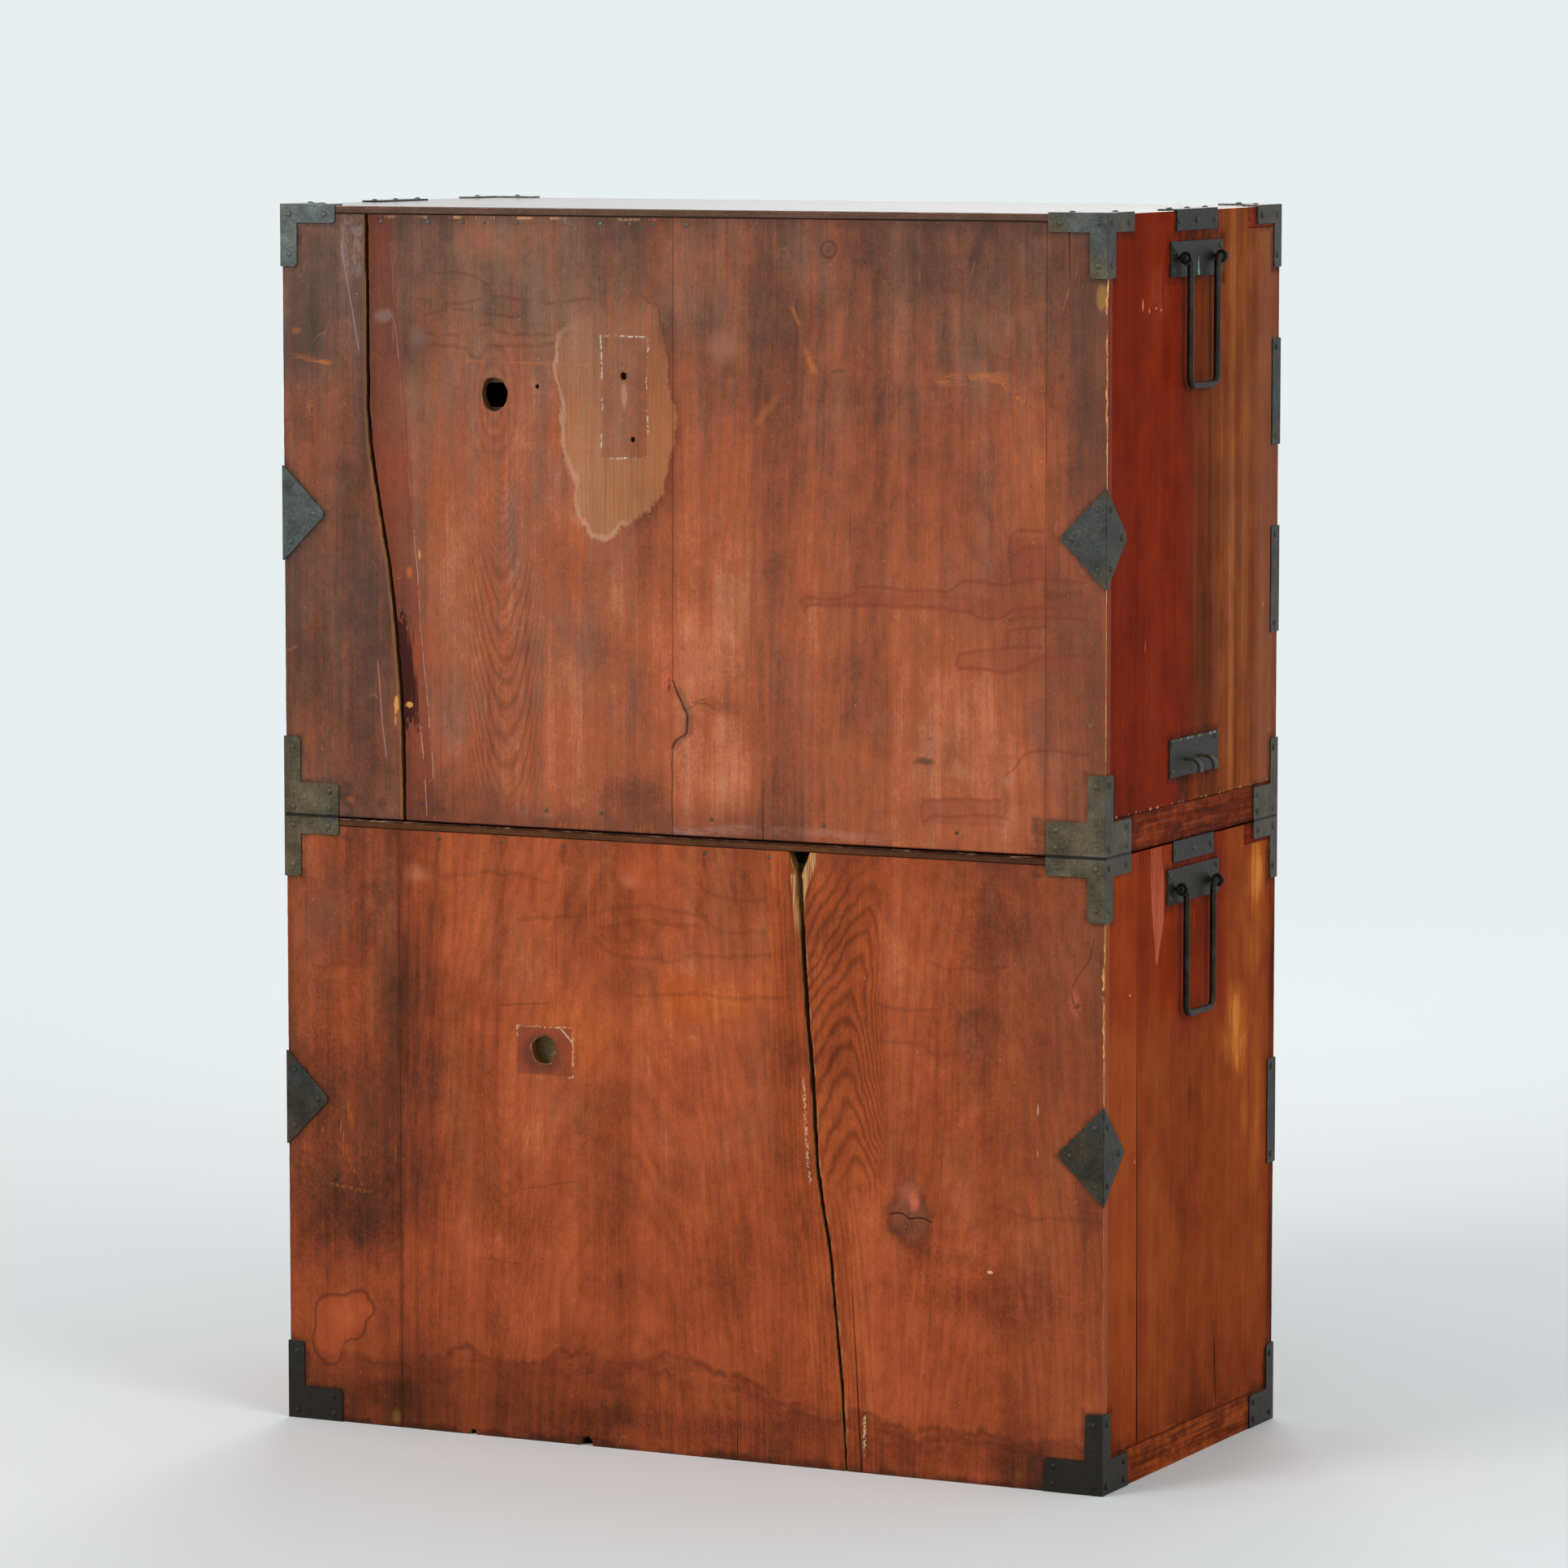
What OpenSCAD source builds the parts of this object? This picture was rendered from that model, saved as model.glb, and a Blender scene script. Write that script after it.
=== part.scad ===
// Stacking chest of drawers in two iron-bound cases, three drawers above and two below.
// The backs are boarded, and each case has a carrying handle on either side.
// Origin: middle of the footprint, on the floor. The drawers face -Y, the boarded back +Y.
// "Left" and "right" are as seen from the drawers.

/* [Cases] */
// Width of both cases, over the wood
case_w = 885; // [800:1:960]
// Depth of both cases, over the wood
case_d = 424; // [380:1:480]
// Height of the lower case
lower_h = 606; // [580:1:660]
// Height of the upper case
upper_h = 602.5; // [585:0.5:660]

/* [Boards] */
// Thickness of a side board
side_t = 20; // [18:0.5:26]
// Thickness of a top board
top_t = 20; // [18:0.5:26]
// Thickness of a bottom board
bottom_t = 35; // [30:0.5:42]
// Thickness of the back boards
back_t = 12; // [9:0.5:15]
// Edge of the top board that shows above the back boards
back_lip = 8; // [5:0.5:12]
// Length of the finger of the top board that shows at the front of each side
finger_len = 80; // [60:1:110]
// Gap along a sound seam between two back boards
seam_gap = 0.6; // [0.3:0.1:1.5]
// Width of the open crack in the upper back
upper_crack_w = 4.6; // [2:0.1:8]
// Width of the open crack in the lower back, at its top
lower_crack_top_w = 6; // [4:0.1:9]
// Width of the open crack in the lower back, at its foot
lower_crack_foot_w = 2.6; // [1.5:0.1:5]
// Diameter of the hole through the upper back
upper_hole_d = 29; // [20:0.5:36]
// Diameter of the hole through the lower back
lower_hole_d = 26; // [18:0.5:34]

/* [Drawer supports] */
// Height of the rails between the drawers
rail_h = 22; // [18:0.5:28]
// Depth of those rails, front to back
rail_d = 45; // [30:1:70]
// Width of the runners that carry on behind the rails
runner_w = 22; // [16:0.5:32]
// Middle of the first upper rail, below the top of its case
upper_rail_1 = 182; // [165:1:200]
// Middle of the second upper rail, below the top of its case
upper_rail_2 = 367; // [345:1:390]
// Middle of the lower rail, below the top of its case
lower_rail_1 = 293; // [270:1:315]

/* [Drawers] */
// Play at each side of a drawer
drawer_play = 1.5; // [0.8:0.1:3]
// Play above a drawer
drawer_head = 2; // [1:0.1:4]
// Play under a drawer
drawer_float = 0.3; // [0.2:0.05:0.6]
// Space behind a drawer
drawer_back_room = 14; // [8:1:40]
// Drawer fronts set back from the front of the case
front_recess = 1; // [0.5:0.1:3]
// Thickness of a drawer front
front_t = 20; // [16:0.5:24]
// Thickness of the drawer sides and backs
drawer_wall = 10; // [8:0.5:14]
// Thickness of the drawer bottoms
drawer_floor = 8; // [6:0.5:12]
// Glue line between the boards of one drawer
glue_gap = 0.1; // [0.08:0.01:0.2]

/* [Locks] */
// Diameter of the lock plate on a drawer front
lock_plate_d = 56; // [46:1:70]
// Width of the lock case behind the drawer front
lock_w = 56; // [46:1:70]
// Height of the lock case
lock_h = 46; // [40:1:60]
// Depth of the lock case
lock_d = 14; // [12:0.5:18]
// Width of the bolt
bolt_w = 24; // [18:1:30]
// Thickness of the bolt
bolt_t = 6; // [5:0.5:8]
// Height of the bolt
bolt_h = 36; // [30:1:40]
// Play round the bolt in its case
bolt_play = 0.2; // [0.1:0.05:0.4]
// How far the bolt rises when it is locked
bolt_travel = 8; // [6:0.5:9]
// Diameter of the round part of the keyhole
keyhole_d = 7; // [5:0.5:9]

/* [Irons] */
// Thickness of the sheet iron
iron_t = 1.5; // [1:0.1:2]
// Width of the narrow arms of the corner irons
arm_w = 17; // [12:0.5:18]
// Length of the arms of the top corner irons
arm_len = 60; // [45:1:80]
// Rounding of the inner corner at the end of each arm
arm_round = 4; // [2:0.5:6]
// Length of the wide foot of the bottom corner irons
foot_len = 60; // [45:1:80]
// Height of that foot
foot_h = 33; // [26:0.5:34]
// Height of the upright arm of the bottom corner irons
foot_arm = 78; // [60:1:100]
// Height that the bottom irons keep off the bottom of their case
foot_lift = 0.3; // [0.2:0.1:1]
// Reach of the diamond irons along each face, from the edge
diamond_reach = 45; // [35:1:55]
// Height of the diamond irons
diamond_h = 94; // [80:1:110]
// Width of the blunt tip of a diamond iron
diamond_tip = 6; // [3:0.5:10]
// Middle of the upper diamonds, below the top of their case
upper_diamond = 303; // [280:1:320]
// Middle of the lower diamonds, below the top of their case
lower_diamond = 282; // [260:1:300]
// Height of the irons that tie the rails to the sides
tie_h = 105; // [90:1:120]
// Width of those irons on the side
tie_w = 19; // [15:0.5:25]
// Length of their tongue along the rail
tie_tongue = 60; // [45:1:80]
// Length of the plate folded over the top edge of each side
fold_len = 100; // [80:1:120]
// Reach of that plate on the side and on the top
fold_w = 19; // [15:0.5:24]

/* [Side handles] */
// Distance between the eyes of a side handle
eye_span = 88; // [80:1:100]
// Distance between the legs of a side handle
leg_span = 66; // [58:1:70]
// Diameter of the rod of a side handle
rod_d = 6.4; // [5:0.1:7.5]
// Eyes to the middle of the bar of a side handle
handle_drop = 122; // [100:1:130]
// Middle of the rod, out from the side
handle_out = 8.5; // [8:0.1:10]
// Eyes of a side handle, below the top of the case
handle_below = 45; // [42:1:52]
// Length of the plate behind the side handles
plate_len = 128; // [115:1:140]
// Height of that plate
plate_h = 34; // [28:1:38]
// Middle of the upper plate, below the top of its case
upper_plate = 46; // [43:1:54]
// Middle of the lower plate, below the top of its case
lower_plate = 42; // [41:1:54]
// Play between a rod and its eyes
eye_play = 0.08; // [0.03:0.01:0.1]
// Thickness of the wire of the eyes
eye_wire = 3.4; // [2.8:0.1:3.8]
// Length of the shanks of the eyes in the wood
eye_shank = 15; // [12:0.5:17]

/* [Catches] */
// Length of the catch plate low on the sides of the upper case
catch_len = 120; // [100:1:135]
// Height of the catch plate
catch_h = 37; // [30:1:44]
// Middle of the catch plate, above the bottom of its case
catch_up = 80; // [76:1:90]
// Distance between the two hooks
hook_span = 36; // [28:1:44]
// Middle of the hooks, above the bottom of the case
hook_up = 77; // [74:1:85]
// Width of a hook
hook_w = 9; // [7:0.5:11]
// Thickness of a hook
hook_t = 2.4; // [2:0.1:3.2]
// Reach of a hook, out from the side
hook_reach = 17; // [14:0.5:18]
// Radius of the curl of a hook, to the middle of its thickness
hook_curl = 9; // [7:0.5:10]
// Straight tip of a hook, below the curl
hook_tip = 3; // [2:0.5:5]
// Thickness of the shank of a hook
hook_d = 5; // [4:0.1:5.6]

/* [Drawer pulls] */
// Distance between the eyes of a drawer pull
pull_span = 104; // [94:1:120]
// Distance between the legs of a drawer pull
pull_leg = 84; // [74:1:86]
// Diameter of the rod of a drawer pull
pull_rod_d = 7; // [6:0.1:8]
// Eyes to the middle of the bar of a drawer pull
pull_drop = 42; // [34:1:46]
// Middle of the rod, out from the drawer front
pull_out = 9.5; // [9.2:0.1:11]
// Middle of each pull, from the middle of the drawer
pull_from_middle = 225; // [150:1:270]
// Eyes of a pull, above the middle of the drawer front
pull_up = 12; // [5:1:20]
// Diameter of the round plates behind the eyes
rose_d = 30; // [24:0.5:36]

/* [Nails] */
// Diameter of a nail head
nail_head_d = 6.4; // [5:0.1:7.5]
// Height of a nail head
nail_head_h = 1.6; // [1:0.1:2]
// Diameter of the heads of the small nails in the back boards
board_nail_d = 4; // [3:0.1:5]
// Diameter of a nail's shank
nail_d = 2.2; // [1.6:0.1:2.6]
// Length of a nail's shank, from the face of the iron
nail_len = 7.5; // [6:0.5:8]

/* [Hidden] */

$fn = 32;

lacquer = [0.55, 0.21, 0.13];
lacquer_side = [0.50, 0.15, 0.09];
bare_wood = [0.78, 0.66, 0.48];
iron = [0.20, 0.20, 0.19];

// Bases and tops of the cases. The upper case stands on the irons folded over the lower one.
upper_z = lower_h + iron_t;
half_w = case_w / 2;
half_d = case_d / 2;
inner_w = case_w - 2 * side_t;
wood_back = half_d - back_t;

// The faces that irons lie on: turn about Z, and distance from the middle.
front_face = [0, half_d];
left_face = [-90, half_w];
back_face = [180, half_d];
right_face = [90, half_w];

// Nails, as [along, up] from a corner of the iron.
top_iron_nails = [[8.5, 8.5], [48, 8.5], [8.5, 48]];
arm_end_nails = [[40, 9.5], [9.5, 40]];
foot_iron_nails = [[8.5, 8], [50, 8], [50, 25], [8.5, 68]];
tie_nail_in = 9;
tie_nail_up = 44;
diamond_nails = [[8, -28], [8, 28], [34, 0]];
plate_nail_edge = 6;
head_taper = 0.6;

// Drawer openings, as [base above the bottom of the case, height].
opening_1 = [upper_h - upper_rail_1 + rail_h / 2, upper_rail_1 - rail_h / 2 - top_t];
opening_2 = [upper_h - upper_rail_2 + rail_h / 2, upper_rail_2 - upper_rail_1 - rail_h];
opening_3 = [bottom_t, upper_h - upper_rail_2 - rail_h / 2 - bottom_t];
opening_4 = [lower_h - lower_rail_1 + rail_h / 2, lower_rail_1 - rail_h / 2 - top_t];
opening_5 = [bottom_t, lower_h - lower_rail_1 - rail_h / 2 - bottom_t];

drawer_w = inner_w - 2 * drawer_play;
front_y = -half_d + front_recess;
box_y = front_y + front_t;
box_end = wood_back - drawer_back_room;

// Lock: the bolt stands just behind the drawer front, below its top edge.
lock_top_gap = 1;
bolt_wall = 2;
bolt_y = box_y + bolt_wall + bolt_play;
key_below = lock_plate_d / 2 + 4;
keyhole_slot = [3, 11];
mortise_room = 2;

// Cracks and seams of the back boards, as [x, height above the bottom of the case].
upper_board_h = upper_h - back_lip;
lower_board_h = lower_h - back_lip;
upper_crack = [[309, 0], [309, 72], [312, 128], [318, 200], [325, 256], [335, 311], [343, 359],
               [347, 406], [348, upper_board_h]];
knot_seam = [[13, 0], [13, 86], [9, 92], [-3, 99], [-3, 118], [6, 137], [12, 150],
             [11, upper_board_h]];
right_seam_x = -381;
lower_seam_x = 315;
lower_crack = [[-174, 0], [-169, 87], [-157, 209], [-143, 292], [-137, 387], [-131, 457],
               [-127, 519], [-123, 575]];
notch_top = [-112, -135];
// Pieces broken out of the back boards' edge on the floor
floor_chips = [[[101, -1], [102, 6], [107, 9.5], [113, 8], [116, -1]],
               [[230, -1], [232, 5], [236, 6], [239, -1]]];
short_crack = [[-191, -1], [-181, 169]];
short_crack_w = 1.6;
check_w = 0.9;
check_depth = 4;
// Splits, as [mouth, tip]
upper_split = [[-85, -1], [-85, 79]];
top_split = [[-403, upper_board_h + 1], [-405, upper_board_h - 95]];
lower_split = [[-57, -1], [-57, 119]];
// Holes through the back boards: middle, and how much taller than wide
upper_hole = [206.5, 421.5];
upper_hole_tall = 3.6;
lower_hole = [155, 389];
lower_hole_tall = 2.5;
// Small blind holes, as [x, height, diameter, depth]
pin_holes = [[159, 430, 4, 6], [65, 442, 7, 8], [55, 381, 5, 8]];
// Small nails in the back boards: their X, and how far below the top of the boards
lower_row = [270, 201, 132, -22, -91];
upper_row = [331, 279, 240, 216, 181, 127, 89, 57, 31, -4];
foot_row = [290, 150, 90, -30, -150, -290];
row_below = 6.5;
// On the lower side boards: the joint, and a crack as [y, bottom, top]
side_seam_y = 130;
side_seam_depth = 1.5;
side_check = [-63, 47, 125];

function shift_x(edge, dx) = [for (p = edge) [p.x + dx, p.y]];
function reversed(list) = [for (i = [len(list) - 1:-1:0]) list[i]];
function straight(x, top) = [[x, 0], [x, top]];
function mid_below(h, below) = h - below;

// ---- placing ----

module at_upper() {
    translate([0, 0, upper_z]) children();
}

// Children are drawn for a face at y = 0 with the outside at -Y.
module on_face(face) {
    rotate([0, 0, face[0]]) translate([0, -face[1], 0]) children();
}

// Children are drawn for the corner at +X, and again for the one at -X.
module both_sides() {
    children();
    mirror([1, 0, 0]) children();
}

// ---- wooden case ----

// Outline in X and height, extruded along Y from y0 to y1.
module along_y(y0, y1) {
    translate([0, y1, 0]) rotate([90, 0, 0]) linear_extrude(y1 - y0) children();
}

// Mitred to the sides, with a square finger at the front and a rabbet for the back boards.
module case_top(h, lock_room) {
    inner = half_w - side_t;
    difference() {
        union() {
            along_y(-half_d, half_d)
                polygon([[-half_w, h], [half_w, h], [inner, h - top_t], [-inner, h - top_t]]);
            translate([-half_w, -half_d, h - top_t]) cube([case_w, finger_len, top_t]);
        }
        translate([-half_w - 1, wood_back, h - top_t - 1])
            cube([case_w + 2, back_t + 1, top_t - back_lip + 1]);
        if (lock_room) lock_mortise(h - top_t);
    }
}

module lock_mortise(z) {
    w = bolt_w + 2 * mortise_room;
    d = bolt_t + 2 * mortise_room;
    translate([-w / 2, bolt_y - mortise_room, z - 1]) cube([w, d, bolt_travel + 1]);
}

module case_bottom() {
    translate([-half_w, -half_d, 0]) cube([case_w, case_d - back_t, bottom_t]);
}

// One side board, at +X. It stands on the bottom board and is mitred to the top.
module case_side(h) {
    inner = half_w - side_t;
    difference() {
        along_y(-half_d, wood_back)
            polygon([[inner, bottom_t], [half_w, bottom_t], [half_w, h], [inner, h - top_t]]);
        translate([inner - 1, -half_d - 1, h - top_t]) cube([side_t + 2, finger_len + 1, top_t + 1]);
    }
}

// A narrow upright groove in the outside of the side board at +X.
module side_groove(y, z0, z1, depth) {
    translate([half_w - depth, y - check_w / 2, z0]) cube([depth + 1, check_w, z1 - z0]);
}

// The lower side boards are made of two boards each and have opened along the joint.
module lower_side() {
    difference() {
        case_side(lower_h);
        side_groove(side_seam_y, bottom_t - 1, lower_h + 1, side_seam_depth);
        side_groove(side_check.x, side_check.y, side_check.z, check_depth);
    }
}

module back_board(edge_a, edge_b) {
    along_y(wood_back, half_d) polygon(concat(edge_a, reversed(edge_b)));
}

// A narrow crack that runs in from an end of a board: a wedge, w wide at its mouth.
module split(ends, w, depth) {
    mouth = ends[0];
    along_y(half_d - depth, half_d + 1)
        polygon([[mouth.x - w / 2, mouth.y], [mouth.x + w / 2, mouth.y], ends[1]]);
}

// A round hole in the back face. At is its [x, height].
module back_hole(at, d, depth) {
    translate([at.x, half_d + 1, at.y]) rotate([90, 0, 0]) cylinder(h = depth + 1, d = d);
}

// A hole right through a board, taller than it is wide.
module tall_hole(at, d, tall) {
    for (up = [-tall / 2, tall / 2]) back_hole([at.x, at.y + up], d, back_t + 1);
}

module upper_back() {
    half_gap = seam_gap / 2;
    top = upper_board_h;
    back_board(straight(half_w, top), shift_x(upper_crack, upper_crack_w / 2));
    difference() {
        back_board(shift_x(upper_crack, -upper_crack_w / 2), shift_x(knot_seam, half_gap));
        tall_hole(upper_hole, upper_hole_d, upper_hole_tall);
        for (p = pin_holes) back_hole([p[0], p[1]], p[2], p[3]);
    }
    difference() {
        back_board(shift_x(knot_seam, -half_gap), straight(right_seam_x + half_gap, top));
        split(upper_split, check_w, check_depth);
    }
    difference() {
        back_board(straight(right_seam_x - half_gap, top), straight(-half_w, top));
        split(top_split, check_w, check_depth);
    }
}

module lower_back() {
    half_gap = seam_gap / 2;
    top = lower_board_h;
    last = len(lower_crack) - 1;
    // The crack narrows evenly towards the floor.
    widths = [for (p = lower_crack)
        lower_crack_foot_w + (lower_crack_top_w - lower_crack_foot_w) * p.y / lower_crack[last].y];
    left_edge = [for (i = [0:last]) [lower_crack[i].x + widths[i] / 2, lower_crack[i].y]];
    right_edge = [for (i = [0:last]) [lower_crack[i].x - widths[i] / 2, lower_crack[i].y]];
    back_board(straight(half_w, top), straight(lower_seam_x + half_gap, top));
    difference() {
        back_board(straight(lower_seam_x - half_gap, top), concat(left_edge, [[notch_top[0], top]]));
        tall_hole(lower_hole, lower_hole_d, lower_hole_tall);
        split(lower_split, check_w, check_depth);
        for (chip = floor_chips) along_y(wood_back - 1, half_d + 1) polygon(chip);
    }
    difference() {
        back_board(concat(right_edge, [[notch_top[1], top]]), straight(-half_w, top));
        split(short_crack, short_crack_w, back_t + 1);
    }
}

module rail(h, below) {
    z = mid_below(h, below) - rail_h / 2;
    translate([-inner_w / 2, -half_d, z]) cube([inner_w, rail_d, rail_h]);
}

module runners(h, below) {
    z = mid_below(h, below) - rail_h / 2;
    y0 = -half_d + rail_d;
    both_sides() translate([inner_w / 2 - runner_w, y0, z]) cube([runner_w, wood_back - y0, rail_h]);
}

// ---- irons ----

// A strip of sheet on the face y = 0, outside at -Y.
module strip(x0, x1, z0, z1) {
    translate([x0, -iron_t, z0]) cube([x1 - x0, iron_t, z1 - z0]);
}

// Outline of an arm that runs along X from the origin, its far inner corner rounded.
module arm(length, width) {
    square([length - arm_round, width]);
    square([length, width - arm_round]);
    translate([length - arm_round, width - arm_round]) circle(r = arm_round);
}

// An L of sheet with the corner of the case at the origin: one arm along X, one along Y.
// It starts at y = base, and overlaps the next face at x = 0.
module l_plate(along, deep, up, wide, base) {
    translate([-iron_t, base, 0]) linear_extrude(iron_t) {
        arm(along + iron_t, deep - base);
        mirror([1, -1, 0]) arm(up - base, wide + iron_t);
    }
}

// The two upright faces of a corner iron. The case is at +X, +Y and +Z of the origin.
module upright_plates(along, deep, up, wide, base) {
    rotate([90, 0, 0]) l_plate(along, deep, up, wide, base);
    translate([-iron_t, 0, 0]) rotate([90, 0, 90]) l_plate(along, deep, up, wide, base);
}

module corner_irons(h) {
    both_sides() for (front = [0, 1]) mirror([0, front, 0]) translate([-half_w, -half_d, 0]) {
        translate([0, 0, h]) mirror([0, 0, 1]) {
            upright_plates(arm_len, arm_w, arm_len, arm_w, -iron_t);
            translate([0, 0, -iron_t]) l_plate(arm_len, arm_w, arm_len, arm_w, -iron_t);
        }
        upright_plates(foot_len, foot_h, foot_arm, arm_w, foot_lift);
    }
}

module diamond_half() {
    translate([0, 0, -iron_t]) linear_extrude(iron_t) polygon([
        [-iron_t, -diamond_h / 2], [0, -diamond_h / 2], [diamond_reach, -diamond_tip / 2],
        [diamond_reach, diamond_tip / 2], [0, diamond_h / 2], [-iron_t, diamond_h / 2]]);
}

// Folded round the two rear edges of the case.
module diamond_irons(z) {
    both_sides() translate([half_w, half_d, z]) {
        rotate([90, 0, 0]) mirror([1, 0, 0]) diamond_half();
        rotate([90, 0, 0]) rotate([0, 90, 0]) mirror([1, 0, 0]) mirror([0, 0, 1]) diamond_half();
    }
}

// One for each end of a rail, folded from the side on to the front.
module tie_irons(z) {
    tongue_h = rail_h - 2;
    both_sides() translate([half_w, -half_d, z]) {
        translate([0, -iron_t, -tie_h / 2]) cube([iron_t, tie_w + iron_t, tie_h]);
        translate([-arm_w, -iron_t, -tie_h / 2]) cube([arm_w + iron_t, iron_t, tie_h]);
        translate([-tie_tongue, -iron_t, -tongue_h / 2])
            cube([tie_tongue + iron_t, iron_t, tongue_h]);
    }
}

// Folded over the top edge of each side.
module fold_plates(h) {
    both_sides() {
        translate([half_w, -fold_len / 2, h - fold_w]) cube([iron_t, fold_len, fold_w + iron_t]);
        translate([half_w - fold_w, -fold_len / 2, h]) cube([fold_w + iron_t, fold_len, iron_t]);
    }
}

module face_plate(length, height, z) {
    both_sides() translate([half_w, -length / 2, z - height / 2]) cube([iron_t, length, height]);
}

// A nail in a face at y = 0, the head outside at -Y. Smaller heads are lower too.
module nail(face_out, head_d) {
    head_h = nail_head_h * head_d / nail_head_d;
    translate([0, -face_out, 0]) rotate([90, 0, 0])
        cylinder(h = head_h, d1 = head_d, d2 = head_d * head_taper);
    translate([0, -face_out, 0]) rotate([-90, 0, 0]) cylinder(h = nail_len, d = nail_d);
}

module nails_at(places, face_out, head_d = nail_head_d) {
    for (p = places) translate([p.x, 0, p.y]) nail(face_out, head_d);
}

// Nails of one corner iron, for a face whose corner lies at x = 0 with the iron towards +X.
module iron_nails(h) {
    translate([0, 0, h]) mirror([0, 0, 1]) nails_at(top_iron_nails, iron_t);
    nails_at(foot_iron_nails, iron_t);
}

module corner_nails(h) {
    for (face = [left_face, right_face]) on_face(face) both_sides()
        translate([-half_d, 0, 0]) iron_nails(h);
    for (face = [front_face, back_face]) on_face(face) both_sides()
        translate([-half_w, 0, 0]) iron_nails(h);
}

module diamond_iron_nails(z) {
    on_face(back_face) both_sides() translate([-half_w, 0, z]) nails_at(diamond_nails, iron_t);
    on_face(right_face) translate([half_d, 0, z]) mirror([1, 0, 0]) nails_at(diamond_nails, iron_t);
    on_face(left_face) translate([-half_d, 0, z]) nails_at(diamond_nails, iron_t);
}

module tie_iron_nails(z) {
    ends = [[tie_nail_in, -tie_nail_up], [tie_nail_in, tie_nail_up]];
    on_face(front_face) both_sides() translate([-half_w, 0, z])
        nails_at(concat(ends, [[tie_tongue - tie_nail_in, 0]]), iron_t);
    on_face(right_face) translate([-half_d, 0, z]) nails_at(ends, iron_t);
    on_face(left_face) translate([half_d, 0, z]) mirror([1, 0, 0]) nails_at(ends, iron_t);
}

module face_plate_nails(length, height, z) {
    dx = length / 2 - plate_nail_edge;
    dz = height / 2 - plate_nail_edge;
    for (face = [left_face, right_face]) on_face(face) translate([0, 0, z])
        nails_at([[-dx, -dz], [dx, -dz], [-dx, dz], [dx, dz]], iron_t);
}

module fold_plate_nails(h) {
    dx = fold_len / 2 - plate_nail_edge;
    for (face = [left_face, right_face]) on_face(face)
        nails_at([[-dx, h - fold_w / 2], [0, h - fold_w / 2], [dx, h - fold_w / 2]], iron_t);
}

// Nails in the irons on the top of a case, for each corner iron and plate.
module top_face_nails(h) {
    dy = fold_len / 2 - plate_nail_edge;
    both_sides() translate([-half_w, 0, h]) {
        for (front = [0, 1]) mirror([0, front, 0]) translate([0, -half_d, 0])
            rotate([-90, 0, 0]) nails_at(arm_end_nails, iron_t);
        rotate([-90, 0, 0]) nails_at([for (y = [-dy, 0, dy]) [fold_w / 2, y]], iron_t);
    }
}

// Small nails that hold the back boards along one line.
module board_nails(xs, z) {
    on_face(back_face) nails_at([for (x = xs) [-x, z]], 0, board_nail_d);
}

// ---- handles, eyes and hooks ----

// A quarter bend of round rod in the XZ plane. It leaves the origin along +X and ends r below.
module bend(r, d) {
    translate([0, 0, -r]) rotate([90, 0, 0]) rotate_extrude(angle = 90)
        translate([r, 0]) circle(d = d);
}

// A U of round rod that hangs from the X axis, its ends turned out along X.
module bail(span, legs, drop, d, end) {
    turn_r = 1.1 * d;
    corner_r = 1.5 * d;
    both_sides() {
        leg_x = legs / 2;
        pin_x = leg_x + turn_r;
        translate([pin_x, 0, 0]) rotate([0, 90, 0])
            cylinder(h = span / 2 + end - pin_x, d = d);
        translate([pin_x, 0, 0]) mirror([1, 0, 0]) bend(turn_r, d);
        translate([leg_x, 0, -drop + corner_r]) cylinder(h = drop - corner_r - turn_r, d = d);
        translate([leg_x - corner_r, 0, -drop]) mirror([0, 0, 1]) bend(corner_r, d);
        translate([0, 0, -drop]) rotate([0, 90, 0]) cylinder(h = leg_x - corner_r, d = d);
    }
}

// A ring of wire round the X axis with a shank driven into the face at y = 0.
module eye(d, out) {
    ring_r = d / 2 + eye_play + eye_wire / 2;
    translate([0, -out, 0]) rotate([0, 90, 0]) rotate_extrude()
        translate([ring_r, 0]) circle(d = eye_wire);
    translate([0, -out + ring_r, 0]) rotate([-90, 0, 0])
        cylinder(h = out - ring_r + eye_shank, d = eye_wire);
}

module side_eyes(h) {
    for (face = [left_face, right_face]) on_face(face)
        for (x = [-eye_span / 2, eye_span / 2])
            translate([x, 0, h - handle_below]) eye(rod_d, handle_out);
}

module side_handle(face, h) {
    on_face(face) translate([0, -handle_out, h - handle_below])
        bail(eye_span, leg_span, handle_drop, rod_d, rod_d);
}

// Flat hook that stands out of the face at y = 0 and curls down, on a round shank.
module hook() {
    out = hook_reach - hook_t / 2 - hook_curl;
    translate([-hook_w / 2, -out, -hook_t / 2]) cube([hook_w, out, hook_t]);
    translate([0, -out, -hook_curl]) mirror([0, 1, 0]) rotate([0, -90, 0])
        rotate_extrude(angle = 90)
            translate([hook_curl - hook_t / 2, -hook_w / 2]) square([hook_t, hook_w]);
    translate([-hook_w / 2, -hook_reach, -hook_curl - hook_tip]) cube([hook_w, hook_t, hook_tip]);
    rotate([-90, 0, 0]) cylinder(h = eye_shank, d = hook_d);
}

// ---- drawers ----

function front_h(opening) = opening[1] - drawer_head - drawer_float;

module drawer_front(opening, locked) {
    z = opening[0] + drawer_float;
    height = front_h(opening);
    difference() {
        translate([-drawer_w / 2, front_y, z]) cube([drawer_w, front_t, height]);
        if (locked) translate([0, front_y - 1, z + height - key_below]) keyhole(front_t + 2);
    }
}

module keyhole(depth) {
    rotate([-90, 0, 0]) cylinder(h = depth, d = keyhole_d);
    translate([-keyhole_slot.x / 2, 0, -keyhole_slot.y]) cube([keyhole_slot.x, depth, keyhole_slot.y]);
}

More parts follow.
